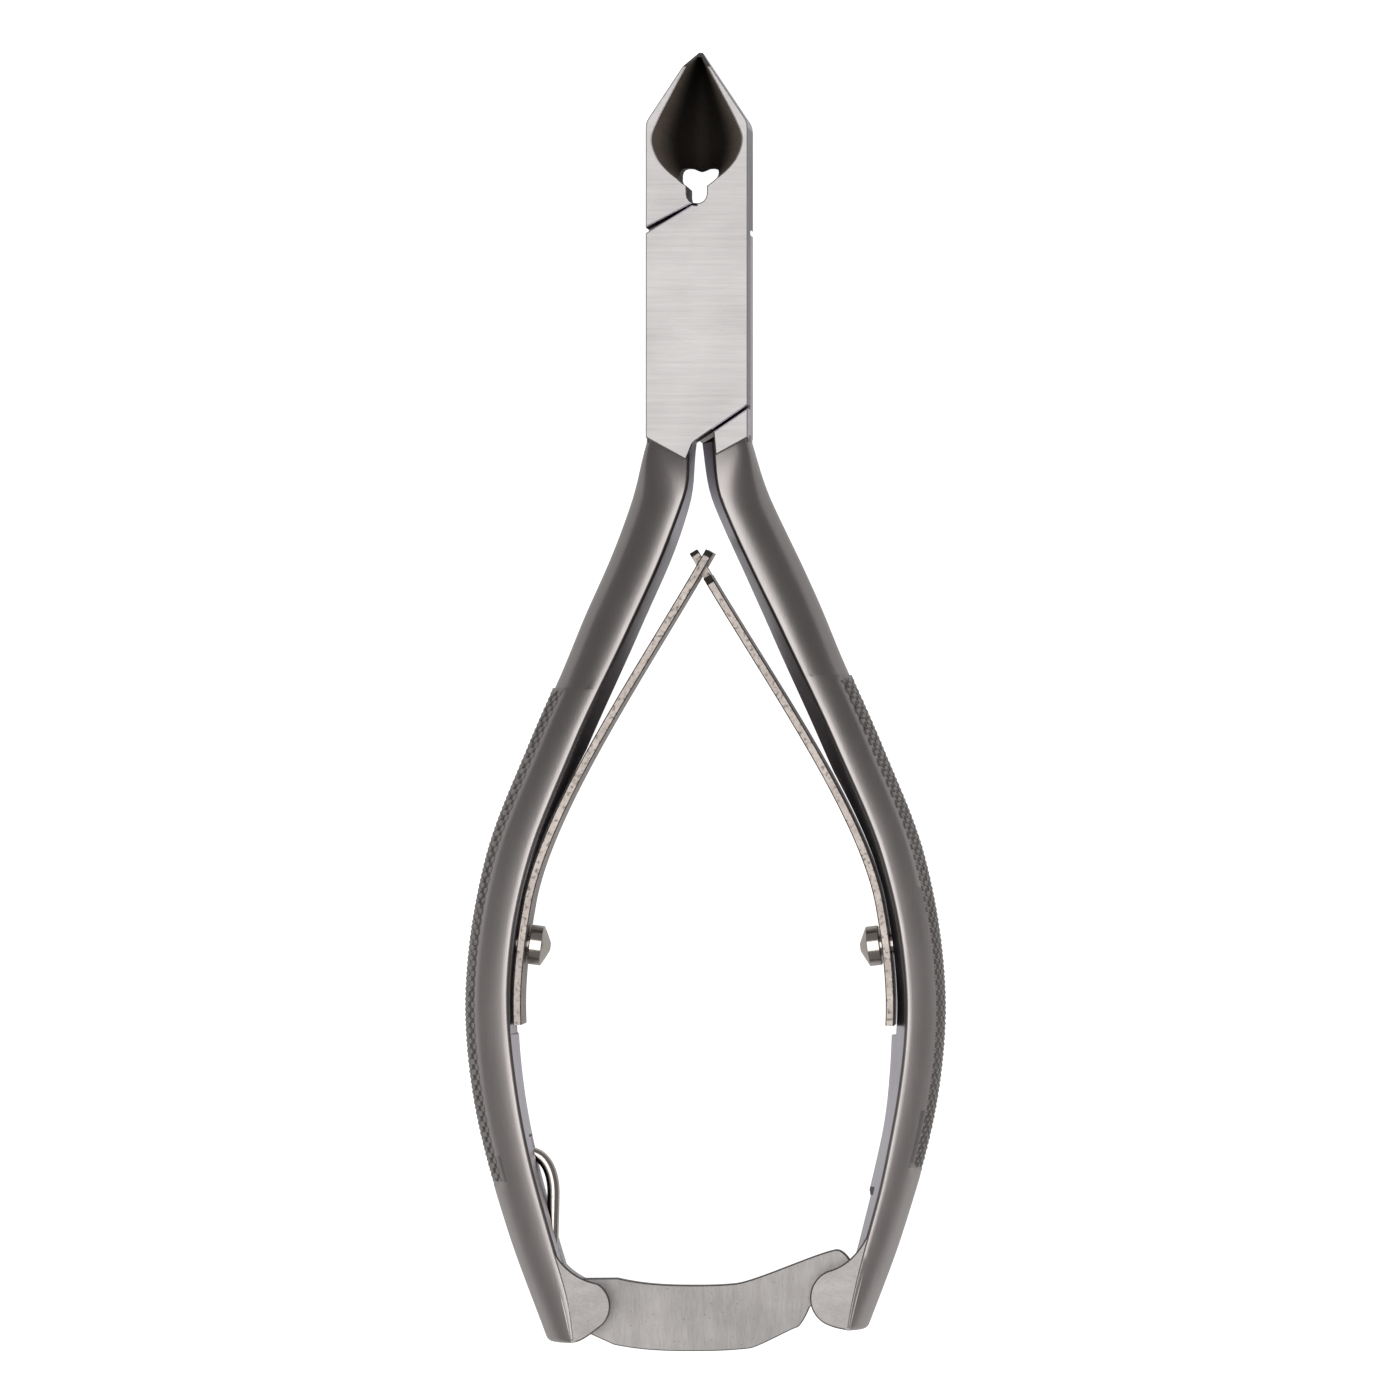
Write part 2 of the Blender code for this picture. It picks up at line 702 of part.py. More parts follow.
def right_spring(material):
    """The right spring ends in a narrow tongue with a shoulder on each side."""
    item = new_object("right_spring", spring_strip(RIGHT), material)
    half = TONGUE_WIDTH / 2
    cut(item, "lower_shoulder", tip_box(RIGHT, TONGUE_SHOULDER, -SPRING_FOOT_WIDTH, -half))
    cut(item, "upper_shoulder", tip_box(RIGHT, TONGUE_SHOULDER, half, SPRING_FOOT_WIDTH))
    cut(item, "screw_hole", screw_hole(RIGHT))
    return item


def screw_frame(side):
    """Point and directions of a spring screw, square to the spring's foot."""
    below = (foot_x(side, SCREW_Y - 1), SCREW_Y - 1)
    above = (foot_x(side, SCREW_Y + 1), SCREW_Y + 1)
    angle = atan2(above[1] - below[1], above[0] - below[0])
    centre = (foot_x(side, SCREW_Y), SCREW_Y)
    inward = (-side * abs(sin(angle)), cos(angle) * side)
    return centre, inward


def along_screw(side):
    """Place for a turned solid along the screw. Positive is towards the middle of the tool."""
    centre, inward = screw_frame(side)

    def place(along, a, b):
        x = centre[0] + inward[0] * along - inward[1] * a
        y = centre[1] + inward[1] * along + inward[0] * a
        return x, y, MIDDLE + b

    return place


def screw_hole(side):
    radius = SCREW_SHANK_RADIUS + PIN_CLEARANCE
    floor = -(SCREW_DEPTH + SPRING_THICKNESS / 2 + SPRING_SEAT_CLEARANCE)
    return turned([(floor, radius), (SPRING_THICKNESS / 2 + 0.2, radius)], along_screw(side))


def spring_screw(name, side, material):
    """Screw with a round head, a blunt cone on it and a slot across the cone."""
    under = SPRING_THICKNESS / 2 + SPRING_SEAT_CLEARANCE
    end = SPRING_SEAT_CLEARANCE - (SCREW_DEPTH + under)
    profile = [
        (end, SCREW_SHANK_RADIUS),
        (under, SCREW_SHANK_RADIUS),
        (under, SCREW_HEAD_RADIUS),
        (under + SCREW_HEAD_HEIGHT, SCREW_HEAD_RADIUS),
        (under + SCREW_HEAD_HEIGHT + SCREW_CONE_HEIGHT, SCREW_CONE_TIP_RADIUS),
    ]
    item = new_object(name, turned(profile, along_screw(side)), material)
    shade_round(item)
    place = along_screw(side)
    top = under + SCREW_HEAD_HEIGHT + SCREW_CONE_HEIGHT
    half = SCREW_SLOT_WIDTH / 2
    rings = []
    for along in (top - SCREW_SLOT_DEPTH, top + 1.0):
        corners = ((-BEYOND, -half), (BEYOND, -half), (BEYOND, half), (-BEYOND, half))
        rings.append([place(along, a, b) for a, b in corners])
    cut(item, "driver_slot", loft(rings))
    return item


# ---- Strap and its wire -------------------------------------------------------------------------


def strap_bow_centre():
    """Centre of the strap's bow. Its middle line passes a little above the rivet and the catch pin."""
    rivet, catch = lug_centre(LEFT), lug_centre(RIGHT)
    run, rise = catch[0] - rivet[0], catch[1] - rivet[1]
    chord = hypot(run, rise)
    height = (STRAP_BOW_RADIUS**2 - (chord / 2) ** 2) ** 0.5
    middle = ((rivet[0] + catch[0]) / 2, (rivet[1] + catch[1]) / 2)
    height += STRAP_BOW_RISE
    return middle[0] - rise / chord * height, middle[1] + run / chord * height


def angle_of(point, centre):
    return degrees(atan2(point[1] - centre[1], point[0] - centre[0]))


def hook_outline():
    """Mouth that drops over the catch pin. Its sides are arcs round the rivet, so it swings clear."""
    rivet, catch = lug_centre(LEFT), lug_centre(RIGHT)
    reach = hypot(catch[0] - rivet[0], catch[1] - rivet[1])
    at_pin = angle_of(catch, rivet)
    mouth = CATCH_PIN_RADIUS + CATCH_CLEARANCE
    low = at_pin - degrees(HOOK_DROP / reach)
    high = at_pin + degrees(mouth / reach)
    return [
        *arc(rivet, reach - mouth, low, at_pin, 3),
        *arc(catch, mouth, 180 + at_pin, at_pin, 8)[1:-1],
        *arc(rivet, reach + mouth, at_pin, low, 3),
        *arc(rivet, reach + mouth + HOOK_NOSE, low, high, 4),
    ]


def strap_outline():
    """Bowed strap: round heel on the rivet, head and downward hook over the catch pin."""
    bow, rivet, catch = strap_bow_centre(), lug_centre(LEFT), lug_centre(RIGHT)
    start, end = angle_of(rivet, bow), angle_of(catch, bow)
    heel = arc(rivet, STRAP_HEEL_RADIUS, start + 190, start + 350, 12)
    lower = arc(bow, STRAP_BOW_RADIUS + STRAP_WIDTH / 2, start + 4, end - 9, 10)
    upper = arc(bow, STRAP_BOW_RADIUS - STRAP_WIDTH / 2, end - 3, start + 2, 12)
    hook = hook_outline()
    head_top = (catch[0] - HOOK_HEAD_INSET, catch[1] + HOOK_HEAD_RISE)
    corner = curve_between(lower[-1], (2.4, 0.8), hook[0], (2.0, 0.4), 4)[1:-1]
    head = curve_between(hook[-1], (-0.6, 3.4), head_top, (-4.0, 0.2), 5)[1:]
    return [*heel, *lower, *corner, *hook, *head, *upper]


def lock_strap(material):
    low, high = MIDDLE - STRAP_THICKNESS / 2, MIDDLE + STRAP_THICKNESS / 2
    origin = (*lug_centre(LEFT), MIDDLE)
    item = new_object("lock_strap", prism(strap_outline(), low, high), material, origin)
    radius = STRAP_RIVET_RADIUS + PIN_CLEARANCE
    hole = turned([(low - 1.0, radius), (high + 1.0, radius)], upright(lug_centre(LEFT)))
    cut(item, "rivet_hole", hole)
    return item


def lock_wire_spring(material):
    """Bent wire anchored in the left handle's slot. Its free end bears on the strap's heel."""
    top_y = slot_top(LEFT) - WIRE_TOP_DROP
    bow_y = top_y - WIRE_BOW_DROP
    bow_x = inner_x(LEFT, bow_y) + WIRE_BOW_REACH
    gap = STRAP_HEEL_RADIUS + WIRE_RADIUS + WIRE_GAP
    heel = arc(lug_centre(LEFT), gap, WIRE_HEEL_ANGLE, WIRE_HEEL_ANGLE, 1)[0]
    anchor = (outer_x(LEFT, top_y) + SLOT_WALL + WIRE_RADIUS + WIRE_ANCHOR_GAP, top_y)
    bend = (bow_x - 1.0, top_y - WIRE_BEND_DROP)
    line = [
        *curve_between(anchor, (3.0, 0.4), bend, (2.2, -1.2), 5),
        *curve_between(bend, (1.3, -0.8), (bow_x, bow_y), (0.0, -3.6), 5)[1:],
        *curve_between((bow_x, bow_y), (0.0, -6.0), heel, (1.2, -4.0), 7)[1:],
    ]
    rings = []
    for index in range(len(line)):
        ring = []
        for step in range(WIRE_SIDES):
            angle = 2 * pi * step / WIRE_SIDES
            x, y = offset_point(line, index, WIRE_RADIUS * cos(angle))
            ring.append((x, y, MIDDLE + WIRE_RADIUS * sin(angle)))
        rings.append(ring)
    item = new_object("lock_wire_spring", loft(rings), material)
    shade_round(item)
    return item


# ---- The tool -----------------------------------------------------------------------------------


def build():
    clear_scene()
    satin = steel("satin_steel", (0.42, 0.40, 0.39), 0.34)
    brushed = steel("brushed_steel", (0.60, 0.58, 0.57), 0.40)
    spring = steel("spring_steel", (0.58, 0.54, 0.50), 0.30)
    bright = steel("bright_steel", (0.66, 0.62, 0.58), 0.18)
    lever("front_lever", LEFT, satin)
    lever("back_lever", RIGHT, satin)
    pin("joint_rivet", rivet_shape(0.0, 0.0), brushed, (0.0, 0.0, 0.0))
    left_spring(spring)
    right_spring(spring)
    spring_screw("left_spring_screw", LEFT, bright)
    spring_screw("right_spring_screw", RIGHT, bright)
    lock_strap(brushed)
    pin("strap_rivet", strap_rivet_shape(0.0, 0.0), brushed, (*lug_centre(LEFT), MIDDLE))
    pin("catch_pin", catch_pin_shape(0.0, 0.0), brushed, (*lug_centre(RIGHT), MIDDLE))
    lock_wire_spring(bright)


build()
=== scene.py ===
from math import asin, atan2, ceil, cos, degrees, hypot, pi, radians, sin

import bmesh
import bpy
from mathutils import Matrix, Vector


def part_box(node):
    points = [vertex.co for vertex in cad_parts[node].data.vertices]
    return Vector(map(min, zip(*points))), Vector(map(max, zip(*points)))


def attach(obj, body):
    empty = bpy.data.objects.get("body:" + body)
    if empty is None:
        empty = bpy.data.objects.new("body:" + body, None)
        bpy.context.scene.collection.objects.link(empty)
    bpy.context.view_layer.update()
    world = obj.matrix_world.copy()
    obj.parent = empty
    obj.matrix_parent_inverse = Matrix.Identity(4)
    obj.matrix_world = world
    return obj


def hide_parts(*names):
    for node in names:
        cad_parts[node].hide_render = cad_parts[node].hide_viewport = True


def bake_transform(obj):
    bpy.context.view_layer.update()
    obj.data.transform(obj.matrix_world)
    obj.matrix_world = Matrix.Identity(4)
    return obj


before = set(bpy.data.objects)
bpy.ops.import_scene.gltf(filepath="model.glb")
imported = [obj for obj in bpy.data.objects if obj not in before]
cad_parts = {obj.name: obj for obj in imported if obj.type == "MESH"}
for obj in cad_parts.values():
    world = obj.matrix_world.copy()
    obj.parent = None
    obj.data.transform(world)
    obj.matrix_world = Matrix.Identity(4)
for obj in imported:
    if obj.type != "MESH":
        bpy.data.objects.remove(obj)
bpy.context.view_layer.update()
mm = 0.001  # all the sizes below are in millimetres
left, right = -1, 1
riveted = {left: "front_half", right: "back_half"}  # the body that each lever rides on
print("frame loaded")


def boxOf(node):
    low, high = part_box(node)
    return [v / mm for v in low], [v / mm for v in high]


def centreOf(node):
    low, high = boxOf(node)
    return [(a + b) / 2 for a, b in zip(low, high)]


frontLow, frontHigh = boxOf("front_lever")
backLow = boxOf("back_lever")[0]
depth = boxOf("joint_rivet")[1][2]  # the rivet is flush with both faces of the block
middle = depth / 2
halfWidth = frontHigh[0]
tipY = frontHigh[1]
endY = {left: frontLow[1], right: backLow[1]}
pinCentre = {left: centreOf("strap_rivet")[:2], right: centreOf("catch_pin")[:2]}


# curves and outlines

sharpestTurn = 0.35  # an inset corner sharper than this is held back


def hermite(a, slopeA, b, slopeB, t):
    return ((2 * t**3 - 3 * t**2 + 1) * a + (t**3 - 2 * t**2 + t) * slopeA
            + (3 * t**2 - 2 * t**3) * b + (t**3 - t**2) * slopeB)


def smoothValue(rows, column, at):
    last = len(rows) - 1
    i = 0
    while i < last - 1 and at > rows[i + 1][0]:
        i += 1
    a, b = rows[i], rows[i + 1]
    before, after = rows[max(i - 1, 0)], rows[min(i + 2, last)]
    span = b[0] - a[0]
    slopeA = (b[column] - before[column]) / (b[0] - before[0]) * span
    slopeB = (after[column] - a[column]) / (after[0] - a[0]) * span
    return hermite(a[column], slopeA, b[column], slopeB, (at - a[0]) / span)


def curveBetween(a, slopeA, b, slopeB, steps):
    return [tuple(hermite(a[i], slopeA[i], b[i], slopeB[i], s / steps) for i in (0, 1)) for s in range(steps + 1)]


def arc(centre, radius, first, last, steps):
    turns = [radians(first + (last - first) * s / steps) for s in range(steps + 1)]
    return [(centre[0] + radius * cos(t), centre[1] + radius * sin(t)) for t in turns]


def ease(t):
    t = min(max(t, 0.0), 1.0)
    return t * t * (3 - 2 * t)


def insetLoop(points, distance):
    area = sum(a[0] * b[1] - b[0] * a[1] for a, b in zip(points, points[1:] + points[:1]))
    way = 1 if area > 0 else -1
    moved = []
    for i, (x, y) in enumerate(points):
        normals = []
        for a, b in ((points[i - 1], (x, y)), ((x, y), points[(i + 1) % len(points)])):
            run, rise = b[0] - a[0], b[1] - a[1]
            long = hypot(run, rise)
            normals.append((-rise / long * way, run / long * way))
        (ax, ay), (bx, by) = normals
        share = distance / max(1 + ax * bx + ay * by, sharpestTurn)
        moved.append((x + (ax + bx) * share, y + (ay + by) * share))
    return moved


# meshes

def loftMesh(rings):
    mesh = bmesh.new()
    made = [[mesh.verts.new(p) for p in ring] for ring in rings]
    for a, b in zip(made, made[1:]):
        for i in range(len(a)):
            j = (i + 1) % len(a)
            mesh.faces.new((a[i], a[j], b[j], b[i]))
    mesh.faces.new(made[0])
    mesh.faces.new(made[-1])
    return mesh


def slabMesh(outline, low, high, chamfer=0.0):
    if not chamfer:
        return loftMesh([[(x, y, z) for x, y in outline] for z in (low, high)])
    inner = insetLoop(outline, chamfer)
    levels = [(inner, low), (outline, low + chamfer), (outline, high - chamfer), (inner, high)]
    return loftMesh([[(x, y, z) for x, y in ring] for ring, z in levels])


def turnedMesh(profile, place, sides=64):
    rings = []
    for along, radius in profile:
        turns = [2 * pi * s / sides for s in range(sides)]
        rings.append([place(along, radius * cos(t), radius * sin(t)) for t in turns])
    return loftMesh(rings)


def upright(centre):
    return lambda along, a, b: (centre[0] + a, centre[1] + b, along)


def pieceFrom(name, mesh):
    bmesh.ops.recalc_face_normals(mesh, faces=mesh.faces)
    bmesh.ops.scale(mesh, vec=(mm, mm, mm), verts=mesh.verts)
    data = bpy.data.meshes.new(name)
    mesh.to_mesh(data)
    mesh.free()
    piece = bpy.data.objects.new(name, data)
    bpy.context.scene.collection.objects.link(piece)
    return piece


carveSolver = "MANIFOLD"
flatNormal = 0.9995  # a face nearer to level than this keeps flat shading up to its edges


def carve(piece, steps):  # each step is (DIFFERENCE or UNION, mesh)
    for i, (operation, mesh) in enumerate(steps):
        helper = pieceFrom(f"{piece.name}Helper{i}", mesh)
        change = piece.modifiers.new("carve", "BOOLEAN")
        change.operation = operation
        change.solver = carveSolver
        change.object = helper
        bpy.context.view_layer.update()
        done = bpy.data.meshes.new_from_object(piece.evaluated_get(bpy.context.evaluated_depsgraph_get()))
        old = piece.data
        piece.modifiers.clear()
        piece.data = done
        bpy.data.meshes.remove(old)
        bpy.data.objects.remove(helper, do_unlink=True)
    return piece


def finishPiece(piece, body, node, materials, pick=None, sharp=32):
    piece.data.materials.clear()
    for material in materials:
        piece.data.materials.append(material)
    for face in piece.data.polygons:
        centre = [v / mm for v in face.center]
        face.material_index = pick(centre, face.normal) if pick else 0
    piece.data.shade_smooth()
    piece.data.set_sharp_from_angle(angle=radians(sharp))
    for face in piece.data.polygons:
        if abs(face.normal.z) <= flatNormal:
            continue
        for corner in face.loop_indices:
            piece.data.edges[piece.data.loops[corner].edge_index].use_edge_sharp = True
    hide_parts(node)
    if body:
        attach(piece, body)
    return piece


# shader groups

grain = {"detail": 4.0, "broken": 0.65, "wideScale": 0.22, "wideDetail": 2.0, "fineShare": 0.6, "bump": 0.00002}
speck = {"detail": 2.0, "from": 0.78, "edge": 6.0}
hazeSize, hazeDetail, hazeSpread = 140.0, 3.0, 2.0


def groupNode(tree, group, values=None, **links):
    node = tree.nodes.new("ShaderNodeGroup")
    node.node_tree = group
    for name, value in (values or {}).items():
        node.inputs[name].default_value = value
    for name, socket in links.items():
        tree.links.new(socket, node.inputs[name])
    return node


def newGroup(name, inputs, outputs):
    group = bpy.data.node_groups.new(name, "ShaderNodeTree")
    for label, kind, value in inputs:
        socket = group.interface.new_socket(label, in_out="INPUT", socket_type=kind)
        if value is not None:
            socket.default_value = value
    for label, kind in outputs:
        group.interface.new_socket(label, in_out="OUTPUT", socket_type=kind)
    return group, group.nodes.new("NodeGroupInput"), group.nodes.new("NodeGroupOutput")


def mathNode(tree, operation, a, b=None, c=None, clamp=False):
    node = tree.nodes.new("ShaderNodeMath")
    node.operation = operation
    node.use_clamp = clamp
    for socket, value in zip(node.inputs, (a, b, c)):
        if value is None:
            continue
        if isinstance(value, (int, float)):
            socket.default_value = value
        else:
            tree.links.new(value, socket)
    return node.outputs[0]


def makeGrainGroup():  # fine streaks, long along the axis whose Stretch is small
    tree, start, end = newGroup(
        "brushedGrain",
        [("Vector", "NodeSocketVector", None), ("Stretch", "NodeSocketVector", (300, 9000, 9000)),
         ("Contrast", "NodeSocketFloat", 0.5), ("Relief", "NodeSocketFloat", 0.3)],
        [("Tone", "NodeSocketFloat"), ("Normal", "NodeSocketVector")])
    scaled = tree.nodes.new("ShaderNodeVectorMath")
    scaled.operation = "MULTIPLY"
    tree.links.new(start.outputs["Vector"], scaled.inputs[0])
    tree.links.new(start.outputs["Stretch"], scaled.inputs[1])
    fine = tree.nodes.new("ShaderNodeTexNoise")
    fine.inputs["Scale"].default_value = 1.0
    fine.inputs["Detail"].default_value = grain["detail"]
    fine.inputs["Roughness"].default_value = grain["broken"]
    tree.links.new(scaled.outputs[0], fine.inputs["Vector"])
    wide = tree.nodes.new("ShaderNodeTexNoise")
    wide.inputs["Scale"].default_value = grain["wideScale"]
    wide.inputs["Detail"].default_value = grain["wideDetail"]
    tree.links.new(scaled.outputs[0], wide.inputs["Vector"])
    mixed = mathNode(tree, "ADD", mathNode(tree, "MULTIPLY", fine.outputs["Fac"], grain["fineShare"]),
                     mathNode(tree, "MULTIPLY", wide.outputs["Fac"], 1 - grain["fineShare"]))
    tone = mathNode(tree, "MULTIPLY_ADD", mathNode(tree, "SUBTRACT", mixed, 0.5),
                    start.outputs["Contrast"], 0.5, clamp=True)
    bump = tree.nodes.new("ShaderNodeBump")
    bump.inputs["Distance"].default_value = grain["bump"]
    tree.links.new(start.outputs["Relief"], bump.inputs["Strength"])
    tree.links.new(fine.outputs["Fac"], bump.inputs["Height"])
    tree.links.new(tone, end.inputs["Tone"])
    tree.links.new(bump.outputs["Normal"], end.inputs["Normal"])
    return tree


def makeHazeGroup():  # soft cloudy change over the surface, as handling and polishing leave
    group, start, end = newGroup(
        "polishHaze",
        [("Vector", "NodeSocketVector", None), ("Size", "NodeSocketFloat", 150.0),
         ("Amount", "NodeSocketFloat", 0.1), ("Middle", "NodeSocketFloat", 0.3)],
        [("Value", "NodeSocketFloat")])
    cloud = group.nodes.new("ShaderNodeTexNoise")
    cloud.inputs["Detail"].default_value = hazeDetail
    group.links.new(start.outputs["Vector"], cloud.inputs["Vector"])
    group.links.new(start.outputs["Size"], cloud.inputs["Scale"])
    level = mathNode(group, "SUBTRACT", cloud.outputs["Fac"], 0.5)
    value = mathNode(group, "MULTIPLY_ADD", level, start.outputs["Amount"], start.outputs["Middle"], clamp=True)
    group.links.new(value, end.inputs["Value"])
    return group


def makeSpeckGroup():  # small round pits and stains
    group, start, end = newGroup(
        "steelSpecks",
        [("Vector", "NodeSocketVector", None), ("Size", "NodeSocketFloat", 2500.0),
         ("Cover", "NodeSocketFloat", 0.35)],
        [("Mask", "NodeSocketFloat")])
    spots = group.nodes.new("ShaderNodeTexNoise")
    spots.inputs["Detail"].default_value = speck["detail"]
    group.links.new(start.outputs["Vector"], spots.inputs["Vector"])
    group.links.new(start.outputs["Size"], spots.inputs["Scale"])
    covered = mathNode(group, "ADD", spots.outputs["Fac"], start.outputs["Cover"])
    above = mathNode(group, "SUBTRACT", covered, speck["from"])
    mask = mathNode(group, "MULTIPLY", above, speck["edge"], clamp=True)
    group.links.new(mask, end.inputs["Mask"])
    return group


brushedGrain = makeGrainGroup()
polishHaze = makeHazeGroup()
steelSpecks = makeSpeckGroup()

def steel(dark, light, stretch, rough, **others):  # two tones, streaks along the small stretch, roughness
    look = {"haze": 0.1, "contrast": 1.2, "relief": 0.3, "specks": 0.1, "metal": 1.0, "gloss": 0.5, "graded": None}
    return {**look, "dark": dark, "light": light, "stretch": stretch, "rough": rough, **others}


finishes = {
    # graded is a change of tone and roughness along one axis of the tool, between two places; its change of tone is
    # painted shade in the jaw hollow and painted light on the handle faces
    "blockFace": steel((0.27, 0.264, 0.262), (0.4, 0.392, 0.389), (260, 11000, 3000), 0.36, haze=0.08,
                       contrast=1.5, relief=0.35, specks=0.0),
    # painted shade: a darker copy of the side steel for the front half of the block's sides and the lap faces
    "blockSide": steel((0.16, 0.154, 0.154), (0.26, 0.252, 0.252), (3000, 260, 9000), 0.34, contrast=1.3,
                       relief=0.2, specks=0.0),
    # painted shade: the hollow's tone darkens toward its bottom, from the rim at z 8.9 to z 3.0
    "jawHollow": steel((0.22, 0.185, 0.156), (0.46, 0.388, 0.328), (2500, 2500, 900), 0.45, haze=0.12,
                       contrast=1.6, metal=0.3, gloss=0.3,
                       graded={"axis": "Z", "from": 8.9, "to": 3.0, "gain": -0.92, "rough": 0.1}),
    # painted light: the handle face's tone grows lighter toward the handle ends, from y -35 to -75; its roughness
    # rises there too
    "handleFace": steel((0.285, 0.268, 0.262), (0.375, 0.354, 0.347), (7000, 420, 7000), 0.31, haze=0.06,
                        relief=0.18, specks=0.0,
                        graded={"axis": "Y", "from": -35.0, "to": -75.0, "gain": 0.5, "rough": 0.12}),
    # painted sheen: a lighter, purple-tinted copy of the side steel for the back half of the block's sides, the
    # handles' inner sides and the lugs' edges
    "handleSide": steel((0.46, 0.442, 0.482), (0.66, 0.636, 0.69), (5000, 300, 5000), 0.33, haze=0.08, relief=0.2,
                        specks=0.04),
    "handleKnurl": steel((0.27, 0.256, 0.25), (0.4, 0.382, 0.372), (4000, 4000, 4000), 0.32, relief=0.2),
    # painted shade: darker steel for the knurl grooves and for the lip bevel at the inner edge of the dome
    "knurlGroove": steel((0.12, 0.112, 0.106), (0.22, 0.208, 0.2), (4000, 4000, 4000), 0.45, relief=0.2),
    # painted shade: near-black, non-metal finish on the jaws' sloped nose; the spring ends use it too
    "jawNose": steel((0.014, 0.011, 0.009), (0.045, 0.036, 0.03), (2500, 2500, 900), 0.5, contrast=1.4,
                     specks=0.05, metal=0.0, gloss=0.15),
    "lugFace": steel((0.19, 0.181, 0.175), (0.34, 0.327, 0.319), (2500, 5500, 3000), 0.4, contrast=1.3,
                     specks=0.08),
    # painted shade: near-black steel for the walls of the handle slots and of the slits in the lap
    "slotWall": steel((0.06, 0.056, 0.052), (0.12, 0.113, 0.107), (3000, 900, 6000), 0.5, contrast=1.4, specks=0.2),
    "strapSteel": steel((0.19, 0.182, 0.178), (0.325, 0.314, 0.308), (5500, 700, 4000), 0.4, haze=0.12,
                        contrast=1.5, specks=0.12),
    "springSteel": steel((0.22, 0.195, 0.177), (0.4, 0.362, 0.334), (2600, 2600, 5000), 0.36, haze=0.14,
                         contrast=2.0, relief=0.35, specks=0.25),
    "polishedSteel": steel((0.42, 0.385, 0.35), (0.62, 0.585, 0.545), (5000, 5000, 5000), 0.17, haze=0.08,
                           contrast=1.0, relief=0.12),
}


def gradeAlong(tree, place, graded):  # rises from 0 to 1 along one axis
    apart = tree.nodes.new("ShaderNodeSeparateXYZ")
    tree.links.new(place, apart.inputs[0])
    span = tree.nodes.new("ShaderNodeMapRange")
    span.interpolation_type = "SMOOTHSTEP"
    span.inputs["From Min"].default_value = graded["from"] * mm
    span.inputs["From Max"].default_value = graded["to"] * mm
    tree.links.new(apart.outputs[graded["axis"]], span.inputs["Value"])
    return span.outputs["Result"]


def mixColours(tree, factor, first, second, blend="MIX"):
    node = tree.nodes.new("ShaderNodeMix")
    node.data_type = "RGBA"
    node.blend_type = blend
    for name, value in (("Factor", factor), ("A", first), ("B", second)):
        if isinstance(value, bpy.types.NodeSocket):
            tree.links.new(value, node.inputs[name])
        else:
            node.inputs[name].default_value = value
    return node.outputs["Result"]


stainShare = 0.55  # how light a stained speck is beside the dark tone


def steelFinish(name):
    look = finishes[name]
    material = bpy.data.materials.new(name)
    material.use_nodes = True
    tree = material.node_tree
    shader = tree.nodes["Principled BSDF"]
    shader.inputs["Metallic"].default_value = look["metal"]
    shader.inputs["Specular IOR Level"].default_value = look["gloss"]
    place = tree.nodes.new("ShaderNodeTexCoord").outputs["Object"]
    streaks = groupNode(tree, brushedGrain, {"Stretch": look["stretch"], "Contrast": look["contrast"],
                                             "Relief": look["relief"]}, Vector=place)
    haze = groupNode(tree, polishHaze, {"Size": hazeSize, "Amount": look["haze"] * hazeSpread,
                                        "Middle": look["rough"]}, Vector=place)
    specks = groupNode(tree, steelSpecks, {"Cover": look["specks"]}, Vector=place)
    colour = mixColours(tree, streaks.outputs["Tone"], (*look["dark"], 1), (*look["light"], 1))
    rough = haze.outputs["Value"]
    graded = look["graded"]
    if graded:
        change = gradeAlong(tree, place, graded)
        gain = mathNode(tree, "MULTIPLY_ADD", change, graded["gain"], 1.0)
        colour = mixColours(tree, 1.0, colour, gain, "MULTIPLY")
        rough = mathNode(tree, "MULTIPLY_ADD", change, graded["rough"], rough)
    stain = (*[v * stainShare for v in look["dark"]], 1)
    colour = mixColours(tree, specks.outputs["Mask"], colour, stain)
    tree.links.new(colour, shader.inputs["Base Color"])
    tree.links.new(rough, shader.inputs["Roughness"])
    tree.links.new(streaks.outputs["Normal"], shader.inputs["Normal"])
    return material


steels = {name: steelFinish(name) for name in finishes}
print("steel finishes made")


# the two levers: jaw, lap plate and handle in one forging each

